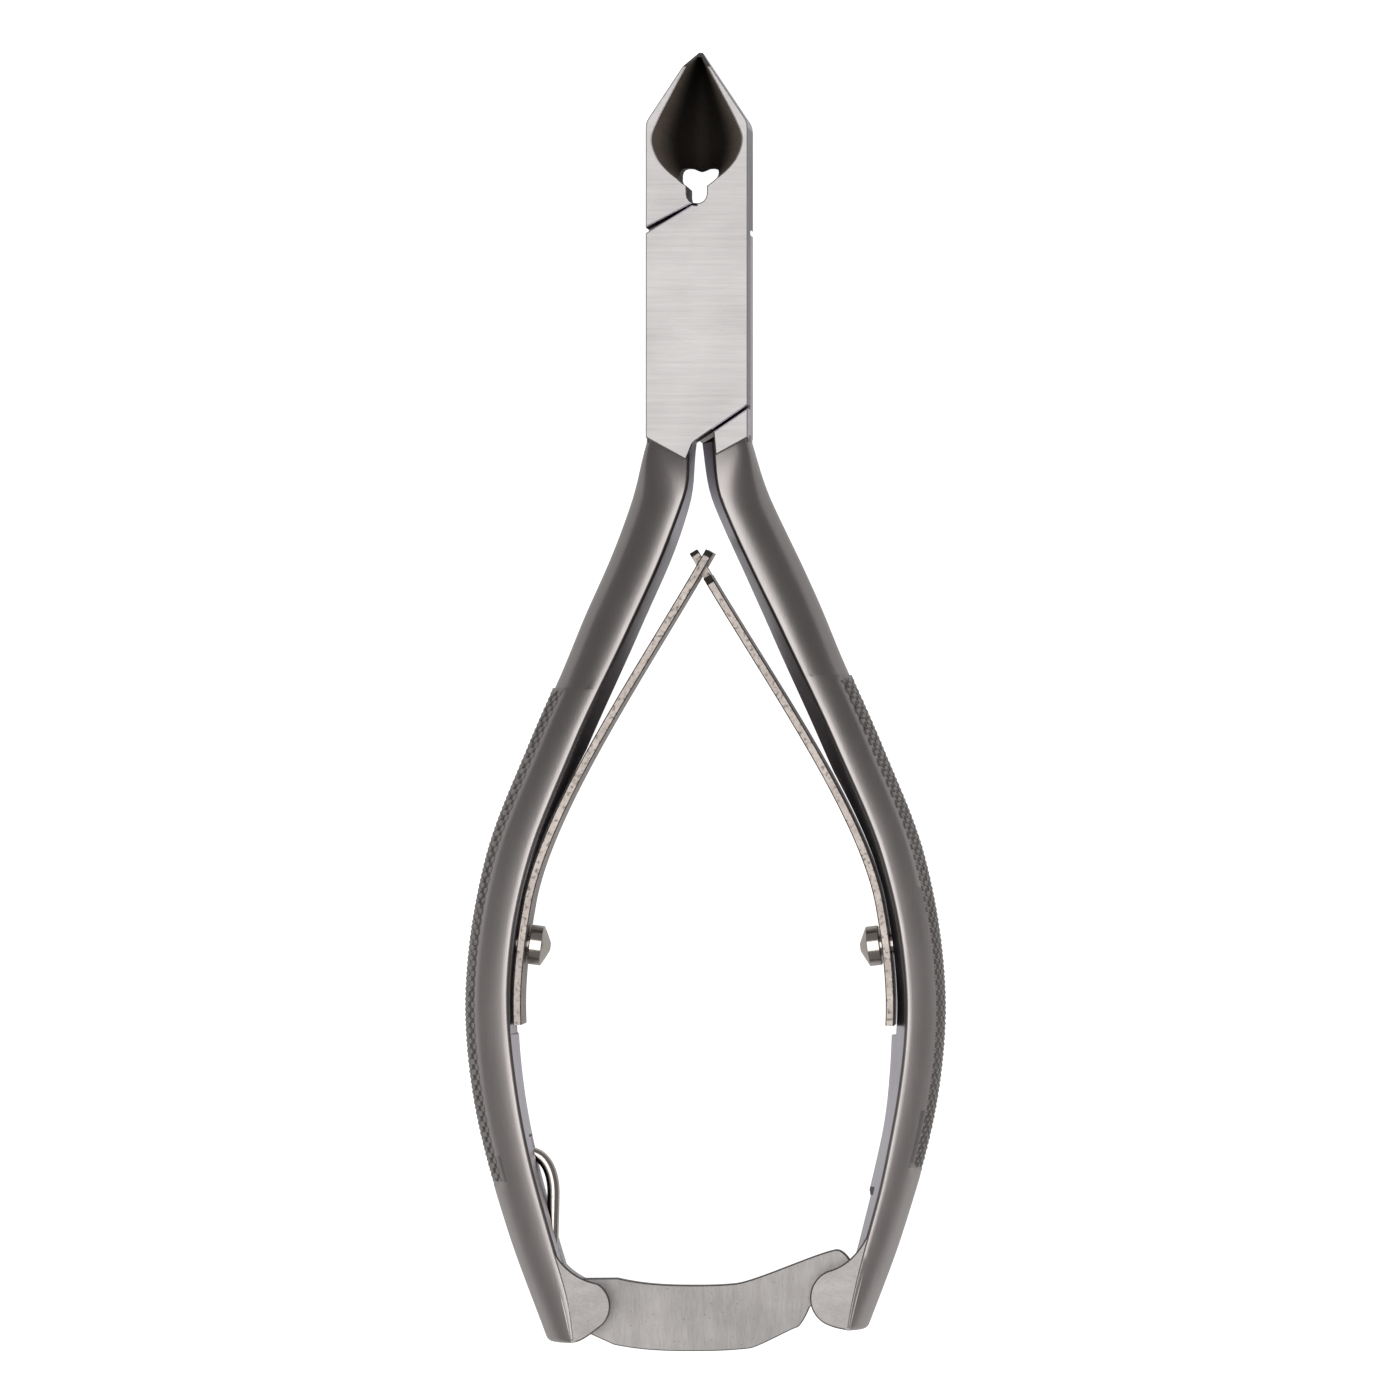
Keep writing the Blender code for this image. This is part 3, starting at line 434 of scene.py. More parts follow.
lever = {
    "chamfer": 0.13,
    "seam": 0.002,          # half of the gap where the jaws meet
    "lapGap": 0.2,
    "shoulderY": 21.0,
    "shoulderRound": 0.8,
    "tipFlat": 0.2,
    "noseLength": 2.0,
    "noseHeight": 2.4,
    "upperSlit": {"sideY": 9.65, "middleY": 12.25, "sideGap": 0.6, "middleGap": 0.2, "endX": 0.5},
    "lowerSlit": {"sideY": -9.8, "middleY": -12.3, "gap": 0.4},
    "rootInnerX": 1.8,
    "crotchX": 0.25,
    "rootSideY": -12.9,
    "rootInnerY": -15.3,
    "hollow": [(14.2, 1.2), (15.7, 3.1), (17.2, 4.3), (19.2, 4.85), (21.2, 4.15), (23.8, 2.8),
               (26.7, 1.25), (28.3, 0.35)],
    "hollowSlope": 0.62,
    "edgeThickness": 0.25,
    "rimFlare": 0.14,
    "relief": {
        "topY": 16.45,
        "nibY": 16.1,
        "waistY": 14.1,
        "lobe": 2.1,
        "notch": 1.1,
        "flare": 0.1,
        "footPoints": [(0.35, 0.03), (0.7, 0.25), (0.93, 0.6), (1.0, 1.0)],  # share of the notch, rise
        "waistPoints": [(0.72, 0.3), (0.93, 0.65), (1.0, 1.0)],              # share of the lobe, rise
        "topPoints": [(1.0, -0.7), (0.95, -0.35), (0.84, -0.1), (0.66, 0.0), (0.42, -0.02)],
        "nibPoint": (0.16, 0.1),
    },
    "far": 3.0,             # how far a cut runs past what it cuts
    "shoulderPoints": [(-0.5, 0.7), (-0.25, 0.3), (-0.08, -0.15), (0.0, -0.8)],  # shares of its round
    "crotchPoints": [(0.1, 0.0), (-0.2, -0.3)],
    "crotchToRoot": 0.9,
    "rootStep": (0.2, 0.8),
    "hollowSteps": 56,
    "hollowShares": (0.96, 0.9, 0.8, 0.7, 0.6, 0.5, 0.4, 0.3, 0.22, 0.15, 0.09, 0.04),
    "rimDrop": 0.03,
    "rimRise": 0.001,
    "noseOpen": 0.5,        # how far the nose cut leans back above the block
}

handle = {
    "startY": -13.4,
    "spread": 26.0,
    "lean": 0.6,
    "leanFullAt": 0.15,
    "rows": [  # share of length, share of spread, bar width, inner draught, half depth
        (0.000, 0.000, 3.8, 1.4, 4.15),
        (0.068, 0.097, 5.1, 1.1, 4.2),
        (0.212, 0.400, 5.1, 1.4, 4.3),
        (0.336, 0.664, 5.0, 1.5, 4.4),
        (0.460, 0.892, 4.85, 1.4, 4.45),
        (0.604, 1.000, 4.8, 1.1, 4.5),
        (0.728, 0.953, 4.7, 0.9, 4.45),
        (0.873, 0.765, 4.0, 0.8, 4.1),
        (1.000, 0.543, 3.0, 0.5, 3.95),
    ],
    "sideShares": (0.04, 0.5, 0.94, 1.0),
    "edgeRound": 0.16,
    "lip": 0.2,             # width of the bevel between the inner side and the dome, painted dark as shade
    "lipDrop": 2.4,         # its height, in edge rounds
    "edgePoints": [(-0.05, 0.9), (0.25, 0.33), (0.75, 0.06)],  # edge rounds outward and down
    "domeFrom": 1.3,        # edge rounds from the edge to where the dome starts
    "rootSquare": 0.72,     # the dome starts as square as the block and rounds off over rootLength
    "rootLength": 0.07,
    "rootTilt": {left: 0.36, right: 0.22},  # slope of the squared root to its outer side
    "rootBuried": 0.8,
    "rowGap": 1.0,
    "endGap": 0.9,
    "endRound": 0.5,
    "endShares": (0.35, 0.7, 0.92, 1.0),
    "trim": {left: 0.0, right: 0.35},       # draught taken off the right handle toward its end
    "trimFrom": -76.0,
    "trimRun": 12.0,
    "edgeShift": {  # how far the front edge of the inner side lies to the right of the middle plane's
        left: [(-110.3, -0.2), (-105.5, 0.5), (-100.0, 0.48), (-92.0, 0.3), (-80.0, 0.3), (-66.0, 0.12),
               (-54.0, 0.32), (-44.0, 0.2), (-32.0, 0.38), (-24.0, 0.25), (-20.0, 0.42), (-17.5, 0.7),
               (-13.4, 0.8)],
        right: [(-110.3, 1.6), (-105.5, 1.0), (-101.0, 0.78), (-94.0, 0.88), (-88.0, 0.75), (-80.0, 0.75),
                (-66.0, 0.65), (-55.0, 0.35), (-40.0, 0.25), (-28.0, 0.05), (-20.0, 0.15), (-13.4, 0.1)],
    },
    "swell": [(-110.3, 0.35), (-92.0, 0.28), (-76.0, 0.0), (-60.0, 0.0), (-40.0, 0.12), (-20.0, 0.2),
              (-13.4, 0.12)],
    "apex": {  # how far inside its front edge the crown of the dome would lie
        left: [(-110.3, 0.9), (-66.0, 0.9), (-40.0, 0.45), (-13.4, 0.6)],
        right: [(-110.3, 1.4), (-66.0, 1.3), (-40.0, 0.5), (-13.4, 0.4)],
    },
    "step": {"run": 9.0, "cut": 0.26},
}

knurl = {
    "topY": {left: -39.8, right: -38.4},
    "bottomY": {left: -94.3, right: -92.6},
    "pitch": 1.12,
    "depth": 0.2,
    "quarter": 6.72,        # arc length of a quarter of the dome, six pitches
    "band": 45,             # degrees down the dome where the pattern starts
    "bandFade": 6,
    "topFade": 0.6,
    "bottomFade": 1.8,
    "smoothTurns": [0, 6, 12, 19, 27, 36, 45],
    "cutsPerPitch": 4,
    "hairline": 0.01,
}

lug = {
    "half": 3.9,
    "radius": {left: 2.9, right: 3.2},
    "throatRise": {left: 6.6, right: 8.4},
    "circleTurn": {left: 58, right: 115},
    "lastTurn": {left: -42, right: 232},
    "overlap": 0.35,
    "chamfer": 0.16,
    "undercut": 0.28,
    "lowerInset": {left: 0.5, right: 0.15},  # the back plate is a little smaller
    "throatPull": (1.3, 1.6, 0.35),
    "throatSteps": 28,
    "circleSteps": 36,
    "footRise": 0.1,
    "footPull": ((1.6, -1.3), (2.6, -0.1)),
    "footSteps": 12,
}

slot = {"width": 2.1, "wall": 1.3, "runOut": 6.0, "length": {left: 22.3, right: 14.9}, "open": 0.05, "steps": 24}

handleLength = handle["startY"] - endY[left]


def shareAt(y):
    return (handle["startY"] - y) / handleLength


def leanAt(y):
    return handle["lean"] * ease(shareAt(y) / handle["leanFullAt"])


def rowValue(column, y):
    return smoothValue(handle["rows"], column, shareAt(y))


def outerX(side, y):
    return side * (halfWidth + (handle["spread"] - halfWidth) * rowValue(1, y)) + leanAt(y)


def cadEdgeX(side, y):
    return outerX(side, y) - side * rowValue(2, y)


def faceEdgeX(side, y):
    return cadEdgeX(side, y) + smoothValue(handle["edgeShift"][side], 1, y)


def innerX(side, y):
    trim = handle["trim"][side] * ease((handle["trimFrom"] - y) / handle["trimRun"])
    return cadEdgeX(side, y) - side * (rowValue(3, y) - trim)


def knurlCut(side, y, turn):  # depth of the pattern at a height along the handle and an angle round it
    top, bottom = knurl["topY"][side], knurl["bottomY"][side]
    if not bottom < y < top:
        return 0.0
    around = (turn - 90) / 90 * knurl["quarter"]
    pitch = knurl["pitch"]
    grooves = [abs(((y - top + way * around) / pitch) % 1.0 - 0.5) * 2 for way in (1, -1)]
    inBand = ease((turn - knurl["band"]) / knurl["bandFade"])
    ends = ease((top - y) / knurl["topFade"]) * ease((y - bottom) / knurl["bottomFade"])
    return knurl["depth"] * max(grooves) * inBand * ends


def stepCut(side, y):  # the smooth part is ground down a little just above the pattern
    top = knurl["topY"][side]
    if y < top:
        return 0.0
    return handle["step"]["cut"] * ease(1 - (y - top) / handle["step"]["run"])


def handleTurns():
    band = knurl["band"]
    count = round((90 - band) / 90 * knurl["quarter"] / knurl["pitch"] * knurl["cutsPerPitch"])
    return knurl["smoothTurns"] + [band + (90 - band) * s / count for s in range(1, count + 1)]


def handleSection(side, y, shrink=0.0):
    outer, edge, inner = outerX(side, y), faceEdgeX(side, y), innerX(side, y)
    outer += side * (smoothValue(handle["swell"], 1, y) - stepCut(side, y))
    high = rowValue(4, y)
    r = handle["edgeRound"]
    root = 1 - ease(shareAt(y) / handle["rootLength"])
    square = 1 - handle["rootSquare"] * root
    # the inner side rises with its draught to a small round edge, where the dome starts
    ridge, lip = (inner, 0.0), (edge - side * handle["lip"], high - handle["lipDrop"] * r)
    upper = [(ridge[0] + (lip[0] - ridge[0]) * s, lip[1] * s) for s in handle["sideShares"]]
    upper += [(edge + side * out * r, high - down * r) for out, down in handle["edgePoints"]]
    crown = edge - side * smoothValue(handle["apex"][side], 1, y)
    first = asin((edge + side * handle["domeFrom"] * r - crown) / (outer - crown))
    for turn in handleTurns():
        cut = knurlCut(side, y, turn)
        t = first + (pi / 2 - first) * turn / 90
        across, up = sin(t) ** square, (cos(t) / cos(first)) ** square if turn < 90 else 0.0
        up *= 1 - handle["rootTilt"][side] * root * across
        upper.append((crown + (outer - crown) * across - side * cut * sin(t), high * up - cut * cos(t)))
    lower = [(x, -z) for x, z in reversed(upper[:-1])]
    ring = [ridge, *upper, *lower]
    middleX = (outer + inner) / 2
    if shrink:
        ring = [(x + (middleX - x) * shrink / 2, z * (1 - shrink / high)) for x, z in ring]
    return [(x, y, middle + z) for x, z in ring]


def handleMesh(side):
    end, top, bottom = endY[side], knurl["topY"][side], knurl["bottomY"][side]
    start = handle["startY"]
    first = handleSection(side, start)
    least = lever["rootInnerX"] + lever["lapGap"] / 2
    rings = [[(max(side * x, least) * side, start + handle["rootBuried"], z) for x, y, z in first]]
    step, gap, hairline = knurl["pitch"] / knurl["cutsPerPitch"], handle["rowGap"], knurl["hairline"]
    rings += [handleSection(side, start - gap * s) for s in range(ceil((start - top) / gap - 1))]
    rings += [handleSection(side, top + hairline), handleSection(side, top - hairline)]
    rings += [handleSection(side, top - step * s) for s in range(1, round((top - bottom) / step))]
    count = round((bottom - end) / handle["endGap"])
    flat = end + handle["endRound"]
    rings += [handleSection(side, bottom + (flat - bottom) * s / count) for s in range(count + 1)]
    for share in handle["endShares"]:
        fall = handle["endRound"] * (1 - (1 - share**2) ** 0.5)
        rings.append(handleSection(side, flat + (end - flat) * share, fall))
    return loftMesh(rings)


def upperSlitY(x, gapShare):
    s = lever["upperSlit"]
    t = (abs(x) - s["endX"]) / (halfWidth - s["endX"])
    return (s["middleY"] + (s["sideY"] - s["middleY"]) * t
            - (s["middleGap"] + (s["sideGap"] - s["middleGap"]) * t) * gapShare)


def lowerSlitY(x, gapShare):
    s = lever["lowerSlit"]
    t = (x - lever["rootInnerX"]) / (halfWidth - lever["rootInnerX"])
    return s["middleY"] + (s["sideY"] - s["middleY"]) * t + s["gap"] * gapShare


def leverOutline(side):
    seam, blunt, crotch = lever["seam"], lever["shoulderRound"], lever["crotchX"]
    slitX = lever["upperSlit"]["endX"]
    shoulder = lever["shoulderY"]
    points = [
        (seam, tipY),
        (seam + lever["tipFlat"], tipY),
        *[(halfWidth + x * blunt, shoulder + y * blunt) for x, y in lever["shoulderPoints"]],
        (halfWidth, lowerSlitY(halfWidth, 1)),
        *[(-crotch + x, lowerSlitY(-crotch, 1) + y) for x, y in lever["crotchPoints"]],
        (-crotch - lever["crotchToRoot"], lever["rootInnerY"]),
        (-halfWidth, lever["rootSideY"]),
        (-halfWidth, upperSlitY(halfWidth, 1)),
        (-slitX, upperSlitY(slitX, 1)),
        (seam, upperSlitY(slitX, 1)),
    ]
    return [(-side * x, y) for x, y in points]


def flaredMesh(outline, levels):  # each level is how far the outline grows and its height
    return loftMesh([[(x, y, z) for x, y in (insetLoop(outline, -grow) if grow else outline)] for grow, z in levels])


def farHalfMesh(side):
    far, inner, slitX = lever["far"], lever["rootInnerX"], lever["upperSlit"]["endX"]
    wide = halfWidth + far
    stepX, stepY = lever["rootStep"]
    points = [
        (wide, upperSlitY(wide, 0)), (slitX, upperSlitY(slitX, 0)), (-wide, upperSlitY(slitX, 0)),
        (-wide, lowerSlitY(wide, 0)), (-inner, lowerSlitY(inner, 0)),
        (-inner - stepX, lever["rootInnerY"] + stepY), (-inner - stepX, lever["rootInnerY"] - far),
        (wide, lever["rootInnerY"] - far),
    ]
    points = [(-side * x, y) for x, y in points]
    flare = lever["chamfer"]
    if side == left:
        levels = [(flare, -far), (flare, 0.0), (0.0, flare), (0.0, middle + lever["lapGap"] / 2)]
    else:
        levels = [(0.0, middle - lever["lapGap"] / 2), (0.0, depth - flare), (flare, depth), (flare, depth + far)]
    return flaredMesh(points, levels)


def hollowMesh():
    table = lever["hollow"]
    first, last = table[0][0], table[-1][0]
    thin, flare = lever["edgeThickness"], lever["rimFlare"]
    rings = []
    steps = lever["hollowSteps"]
    for s in range(steps + 1):
        y = first + (last - first) * s / steps
        mouth = smoothValue(table, 1, y)
        sides = [(mouth + flare, depth + lever["far"]), (mouth + flare, depth + lever["rimRise"]),
                 (mouth, depth - lever["rimDrop"])]
        sides += [(mouth * share**lever["hollowSlope"], thin + (depth - thin) * share)
                  for share in lever["hollowShares"]]
        rings.append([(x, y, z) for x, z in [*sides, (0.0, thin), *[(-x, z) for x, z in reversed(sides)]]])
    return loftMesh(rings)


def reliefMesh():
    r = lever["relief"]
    floor = lever["upperSlit"]["middleY"]
    nibX, nibRise = r["nibPoint"]
    half = [(0.0, floor)]
    half += [(share * r["notch"], floor + rise) for share, rise in r["footPoints"]]
    half += [(r["notch"], r["waistY"])]
    half += [(share * r["lobe"], r["waistY"] + rise) for share, rise in r["waistPoints"]]
    half += [(share * r["lobe"], r["topY"] + rise) for share, rise in r["topPoints"]]
    half += [(nibX * r["lobe"], r["nibY"] + nibRise)]
    outline = [*half, (0.0, r["nibY"]), *[(-x, y) for x, y in reversed(half[1:])]]
    flare, far = r["flare"], lever["far"]
    levels = [(flare, -far), (flare, 0.0), (0.0, flare), (0.0, depth - flare), (flare, depth), (flare, depth + far)]
    return flaredMesh(outline, levels)


def noseMesh():
    start, tip = tipY - lever["noseLength"], tipY + lever["noseLength"]
    fall = (depth - lever["noseHeight"]) / lever["noseLength"]
    profile = [(start, depth), (start - lever["noseOpen"], depth + lever["far"]), (tip, depth + lever["far"]),
               (tip, depth - fall * (tip - start))]
    return loftMesh([[(x, y, z) for y, z in profile] for x in (-halfWidth, halfWidth)])


def lugOutline(side):
    centre, radius, end = pinCentre[side], lug["radius"][side], endY[side]
    topEnd = centre[1] + lug["throatRise"][side]
    edge = faceEdgeX(side, topEnd)
    turn = lug["circleTurn"][side]
    onCircle = arc(centre, radius, turn, turn, 1)[0]
    along = faceEdgeX(side, topEnd - 1) - edge
    reach = topEnd - onCircle[1]
    across = side * (edge - onCircle[0])
    startPull, sidePull, downPull = lug["throatPull"]
    throat = curveBetween((edge, topEnd), (along * reach * startPull, -reach * startPull), onCircle,
                          (-side * across * sidePull, -reach * downPull), lug["throatSteps"])
    sweep = arc(centre, radius, turn, lug["lastTurn"][side], lug["circleSteps"])
    foot = (faceEdgeX(side, end), end + lug["footRise"])
    pulls = [(side * x, y) for x, y in lug["footPull"]]
    sweep += curveBetween(sweep[-1], pulls[0], foot, pulls[1], lug["footSteps"])[1:-1]
    deep = side * lug["overlap"]
    return [(edge + deep, topEnd), *throat, *sweep[1:], foot, (foot[0] + deep, foot[1])]


def lugMesh(side):
    outline, half, chamfer = lugOutline(side), lug["half"], lug["chamfer"]

    def inset(distance):  # the end buried in the handle keeps its place
        return [outline[0], outline[1], *insetLoop(outline, distance)[2:-2], outline[-2], outline[-1]]

    lower, waist = inset(lug["lowerInset"][side]), inset(lug["undercut"])
    levels = [(lower, -half), (lower, -half / 3), (waist, half / 3), (outline, half - chamfer), (inset(chamfer), half)]
    return loftMesh([[(x, y, middle + z) for x, y in ring] for ring, z in levels])


def slotMesh(side):
    end, top, far = endY[side], endY[side] + slot["length"][side], lever["far"]
    deep, steps = top - slot["runOut"], slot["steps"]
    outline = [(innerX(side, top) - side * far, top), (innerX(side, top) + side * slot["open"], top)]
    for s in range(steps + 1):
        y = deep + (end - deep) * s / steps
        outline.append((outerX(side, y) - side * slot["wall"], y))
    outside = innerX(side, end) - side * 4 * far
    outline += [(outline[-1][0], end - far), (outside, end - far), (outside, top)]
    return slabMesh(outline, middle - slot["width"] / 2, middle + slot["width"] / 2)


spring = {
    "thickness": 0.9,
    "footWidth": 6.4,
    "tipWidth": 5.0,
    "seatGap": 0.25,
    "footEndY": -76.1,
    "footTopY": -63.5,
    "sink": 0.45,
    "tipY": -25.1,
    "crossY": -26.7,
    "tipSlope": 0.585,
    "footSteps": 12,
    "steps": 60,
    "tipSteps": 3,
    "pull": 0.8,
    "tongue": 2.0,
    "tongueGap": 0.35,
    "forkExtra": 0.4,
    "shoulder": 1.3,
    "corner": 0.12,
    "darkTip": 0.45,
    "endDrop": 0.03,           # the ends painted near black lie this much lower than the strip
    "seatPast": 1.0,
    "holeGap": 0.1,
    "cheekGap": 0.2,
    "bendStartY": -64.5,
    "bendEndY": -52.0,
}

screw = {
    "y": -67.4,
    "headRadius": 2.15,
    "headHeight": 1.4,
    "coneHeight": 0.8,
    "coneTip": 0.5,
    "shank": 1.2,
    "depth": 2.6,
    "slotWidth": 0.6,
    "slotDepth": 0.7,
    "holeTop": 0.2,
    "sides": 48,
    "headChamfer": (0.12, 0.12),
    "rimChamfer": (0.06, 0.05),
    "coneRound": (0.9, 0.16),   # share of the cone's height, extra radius
}


def footX(side, y):
    return cadEdgeX(side, y) - side * (spring["sink"] + spring["seatGap"] + spring["thickness"] / 2)


def springLine(side, footEnd):
    top, cross = spring["footTopY"], spring["crossY"]
    count, tips = spring["footSteps"], spring["tipSteps"]
    foot = [(footX(side, y), y) for y in (footEnd + (top - footEnd) * s / count for s in range(count + 1))]
    rise = (cross - top) * spring["pull"]
    last = (top - footEnd) / 4
    lean = (footX(side, top) - footX(side, top - last)) / last
    meet = (handle["lean"] / 2, cross)
    free = curveBetween(foot[-1], (lean * rise, rise), meet,
                        (-side * spring["tipSlope"] * (cross - top), cross - top), spring["steps"])
    tipRise = (spring["tipY"] - cross) / tips
    ends = [(meet[0] - side * spring["tipSlope"] * tipRise * s, cross + tipRise * s) for s in range(1, tips + 1)]
    return [*foot, *free[1:], *ends]


def besideLine(line, i, distance):
    a, b = line[max(i - 1, 0)], line[min(i + 1, len(line) - 1)]
    run, rise = b[0] - a[0], b[1] - a[1]
    long = hypot(run, rise)
    return line[i][0] + distance * rise / long, line[i][1] - distance * run / long


def seatMesh(side):
    back = spring["thickness"] / 2 + spring["seatGap"]
    line = springLine(side, spring["footEndY"] - spring["seatPast"])
    outline = [besideLine(line, i, side * back) for i in range(len(line) - spring["tipSteps"])]
    far = lever["far"]
    ends = [(x - side * 2 * far, y) for x, y in (outline[-1], outline[0])]
    return slabMesh([*outline, *ends], -far, depth + far)


def screwPlace(side):
    below, above = footX(side, screw["y"] - 1), footX(side, screw["y"] + 1)
    angle = atan2(2.0, above - below)
    centre = (footX(side, screw["y"]), screw["y"])
    inward = (-side * abs(sin(angle)), cos(angle) * side)
    return lambda along, a, b: (centre[0] + inward[0] * along - inward[1] * a,
                                centre[1] + inward[1] * along + inward[0] * a, middle + b)


def screwHoleMesh(side):
    half = spring["thickness"] / 2
    deep, radius = screw["depth"] + half + spring["seatGap"], screw["shank"] + spring["holeGap"]
    return turnedMesh([(-deep, radius), (half + screw["holeTop"], radius)], screwPlace(side))


flush = 0.003  # what is left round a rivet that is ground flush
beyond = 1.0   # how far a pin's hole runs past its faces
pinSides = 96


def pinMesh(centre, low, high, radius):
    return turnedMesh([(low, radius), (high, radius)], upright(centre), pinSides)


def pinHoleMesh(centre, low, high, radius):
    return pinMesh(centre, low - beyond, high + beyond, radius)


def radiusOf(node):
    low, high = boxOf(node)
    return (high[0] - low[0]) / 2


rivetRadius, strapRivetRadius, catchRadius = [radiusOf(node) for node in ("joint_rivet", "strap_rivet", "catch_pin")]

leverFinishes = ["blockFace", "blockSide", "jawHollow", "handleFace", "handleSide", "handleKnurl", "lugFace",
                 "slotWall", "knurlGroove", "jawNose"]

edges = {  # how far from a size a face may lie and still belong to it
    "level": 0.9, "flat": 0.98, "exact": 0.999, "steep": 0.5,
    "block": 0.2, "top": 0.2, "bottom": 0.02, "plate": 4.4,
    "hollow": 0.3, "hollowFrom": 14.0, "skin": 0.1, "lapTo": 14.5, "lapSkin": 0.15,
    "noseSlope": 0.3, "noseLow": 0.2, "noseBack": 0.05,
    "slotSide": 0.02, "slotEnd": 0.1, "slotWall": 0.7,
    "lip": 0.02, "lug": 0.03, "handle": 0.04,
    "knurlEnd": 1.2, "knurlBand": 0.29, "groove": 0.7,
}


def makeLever(name, node, side):
    piece = pieceFrom(name, slabMesh(leverOutline(side), 0.0, depth, lever["chamfer"]))
    half = lug["half"]
    pinRadius = strapRivetRadius if side == left else catchRadius
    carve(piece, [
        ("DIFFERENCE", farHalfMesh(side)),
        ("DIFFERENCE", hollowMesh()),
        ("DIFFERENCE", reliefMesh()),
        ("DIFFERENCE", noseMesh()),
        ("UNION", handleMesh(side)),
        ("UNION", lugMesh(side)),
        ("DIFFERENCE", slotMesh(side)),
        ("DIFFERENCE", seatMesh(side)),
        ("DIFFERENCE", pinHoleMesh((0.0, 0.0), 0.0, depth, rivetRadius + flush)),
        ("DIFFERENCE", pinHoleMesh(pinCentre[side], middle - half, middle + half, pinRadius + flush)),
        ("DIFFERENCE", screwHoleMesh(side)),
    ])

    def onBlock(x, y, z, normal):
        nose = y > tipY - lever["noseLength"] - edges["noseBack"] and normal.y > edges["noseSlope"]
        # painted shade: the nose sloping down to the tip is coloured near black
        if nose and edges["noseLow"] < normal.z < edges["level"]:
            return "jawNose"
        if abs(normal.z) > edges["level"] and (z > depth - edges["top"] or z < edges["bottom"]):
            return "blockFace"
        table = lever["hollow"]
        mouth = smoothValue(table, 1, min(max(y, table[0][0]), table[-1][0])) + edges["hollow"]
        if y > edges["hollowFrom"] and abs(x) < mouth and edges["skin"] < z < depth - edges["skin"]:
            return "jawHollow"
        inLap = edges["lapSkin"] < z < depth - edges["lapSkin"] and y < edges["lapTo"]
        if inLap and abs(x) < halfWidth - edges["skin"]:
            # painted shade: steep faces in the lap, the slit walls, are coloured near black
            return "slotWall" if abs(normal.z) < edges["level"] else "blockSide"
        # painted shade and sheen: the front half of the block's side gets the darker copy, the back half the lighter
        # one
        return "blockSide" if middle < z < depth - edges["skin"] else "handleSide"

    def onHandle(x, y, z, normal):
        high, slotTop = abs(z - middle), endY[side] + slot["length"][side]
        inSlot = high < slot["width"] / 2 + edges["slotSide"] and y < slotTop + edges["slotEnd"]
        if inSlot and side * (x - outerX(side, y)) < edges["skin"] - slot["wall"]:
            # painted shade: deep faces of the slot are coloured near black
            deep = abs(normal.z) < edges["steep"] and abs(normal.y) < edges["slotWall"]
            return "slotWall" if deep else "handleSide"
        edge = faceEdgeX(side, max(y, endY[side]))
        fromEdge = side * (x - edge)
        lipFrom = rowValue(4, y) - handle["lipDrop"] * handle["edgeRound"]
        # painted shade: the lip bevel along the dome's inner edge gets the dark groove finish
        if -handle["lip"] < fromEdge < edges["lip"] and high > lipFrom:
            return "knurlGroove"
        onLug = y < pinCentre[side][1] + lug["throatRise"][side] and fromEdge < lug["overlap"] + edges["lug"]
        if onLug and (fromEdge <= 0 or abs(normal.z) >= edges["exact"]):
            return "lugFace" if abs(normal.z) > edges["steep"] else "handleSide"
        if fromEdge < edges["handle"]:
            return "handleSide"
        inRows = knurl["bottomY"][side] + edges["knurlEnd"] < y < knurl["topY"][side]
        if inRows and abs(x - outerX(side, y)) < abs(outerX(side, y) - edge) * edges["knurlBand"]:
            turn = degrees(atan2(abs(x - edge), high))
            # painted shade: faces deep in a knurl groove get the darker finish
            return "knurlGroove" if knurlCut(side, y, turn) > edges["groove"] * knurl["depth"] else "handleKnurl"
        return "handleFace"

    def pick(centre, normal):
        x, y, z = centre
        plate = abs(normal.z) > edges["flat"] and y > lever["rootInnerY"] and abs(z - middle) > edges["plate"]
        place = onBlock if y > handle["startY"] + edges["block"] or plate else onHandle
        return leverFinishes.index(place(x, y, z, normal))

    finishPiece(piece, riveted[side], node, [steels[n] for n in leverFinishes], pick, 27)


makeLever("frontLeverBody", "front_lever", left)
print("front lever made")
makeLever("backLeverBody", "back_lever", right)
print("back lever made")


# rivets and pins, flush with the steel round them

def makePins():
    half = lug["half"]
    pins = [
        ("jointRivetFlush", "joint_rivet", "front_half", (0.0, 0.0), 0.0, depth, rivetRadius, "blockFace"),
        ("strapRivetFlush", "strap_rivet", "front_half", pinCentre[left], middle - half, middle + half,
         strapRivetRadius, "lugFace"),
        ("catchPinFlush", "catch_pin", "back_half", pinCentre[right], middle - half, middle + half,
         catchRadius, "lugFace"),
    ]
    for name, node, body, centre, low, high, radius, finish in pins:
        piece = pieceFrom(name, pinMesh(centre, low, high, radius))
        finishPiece(piece, body, node, [steels[finish]])


makePins()
print("rivets and catch pin made")


# leaf springs, with a fork on the left tip and a tongue on the right tip

def stripMesh(side):
    line = springLine(side, spring["footEndY"])
    half, corner = spring["thickness"] / 2, spring["corner"]
    rings = []
    for i in range(len(line)):
        share = i / (len(line) - 1)
        deep = (spring["footWidth"] + (spring["tipWidth"] - spring["footWidth"]) * share) / 2
        section = []
        for across, up in ((-half, -deep + corner), (-half + corner, -deep), (half - corner, -deep),
                           (half, -deep + corner), (half, deep - corner), (half - corner, deep),
                           (-half + corner, deep), (-half, deep - corner)):
            x, y = besideLine(line, i, across)
            section.append((x, y, middle + up))
        rings.append(section)
    return loftMesh(rings)


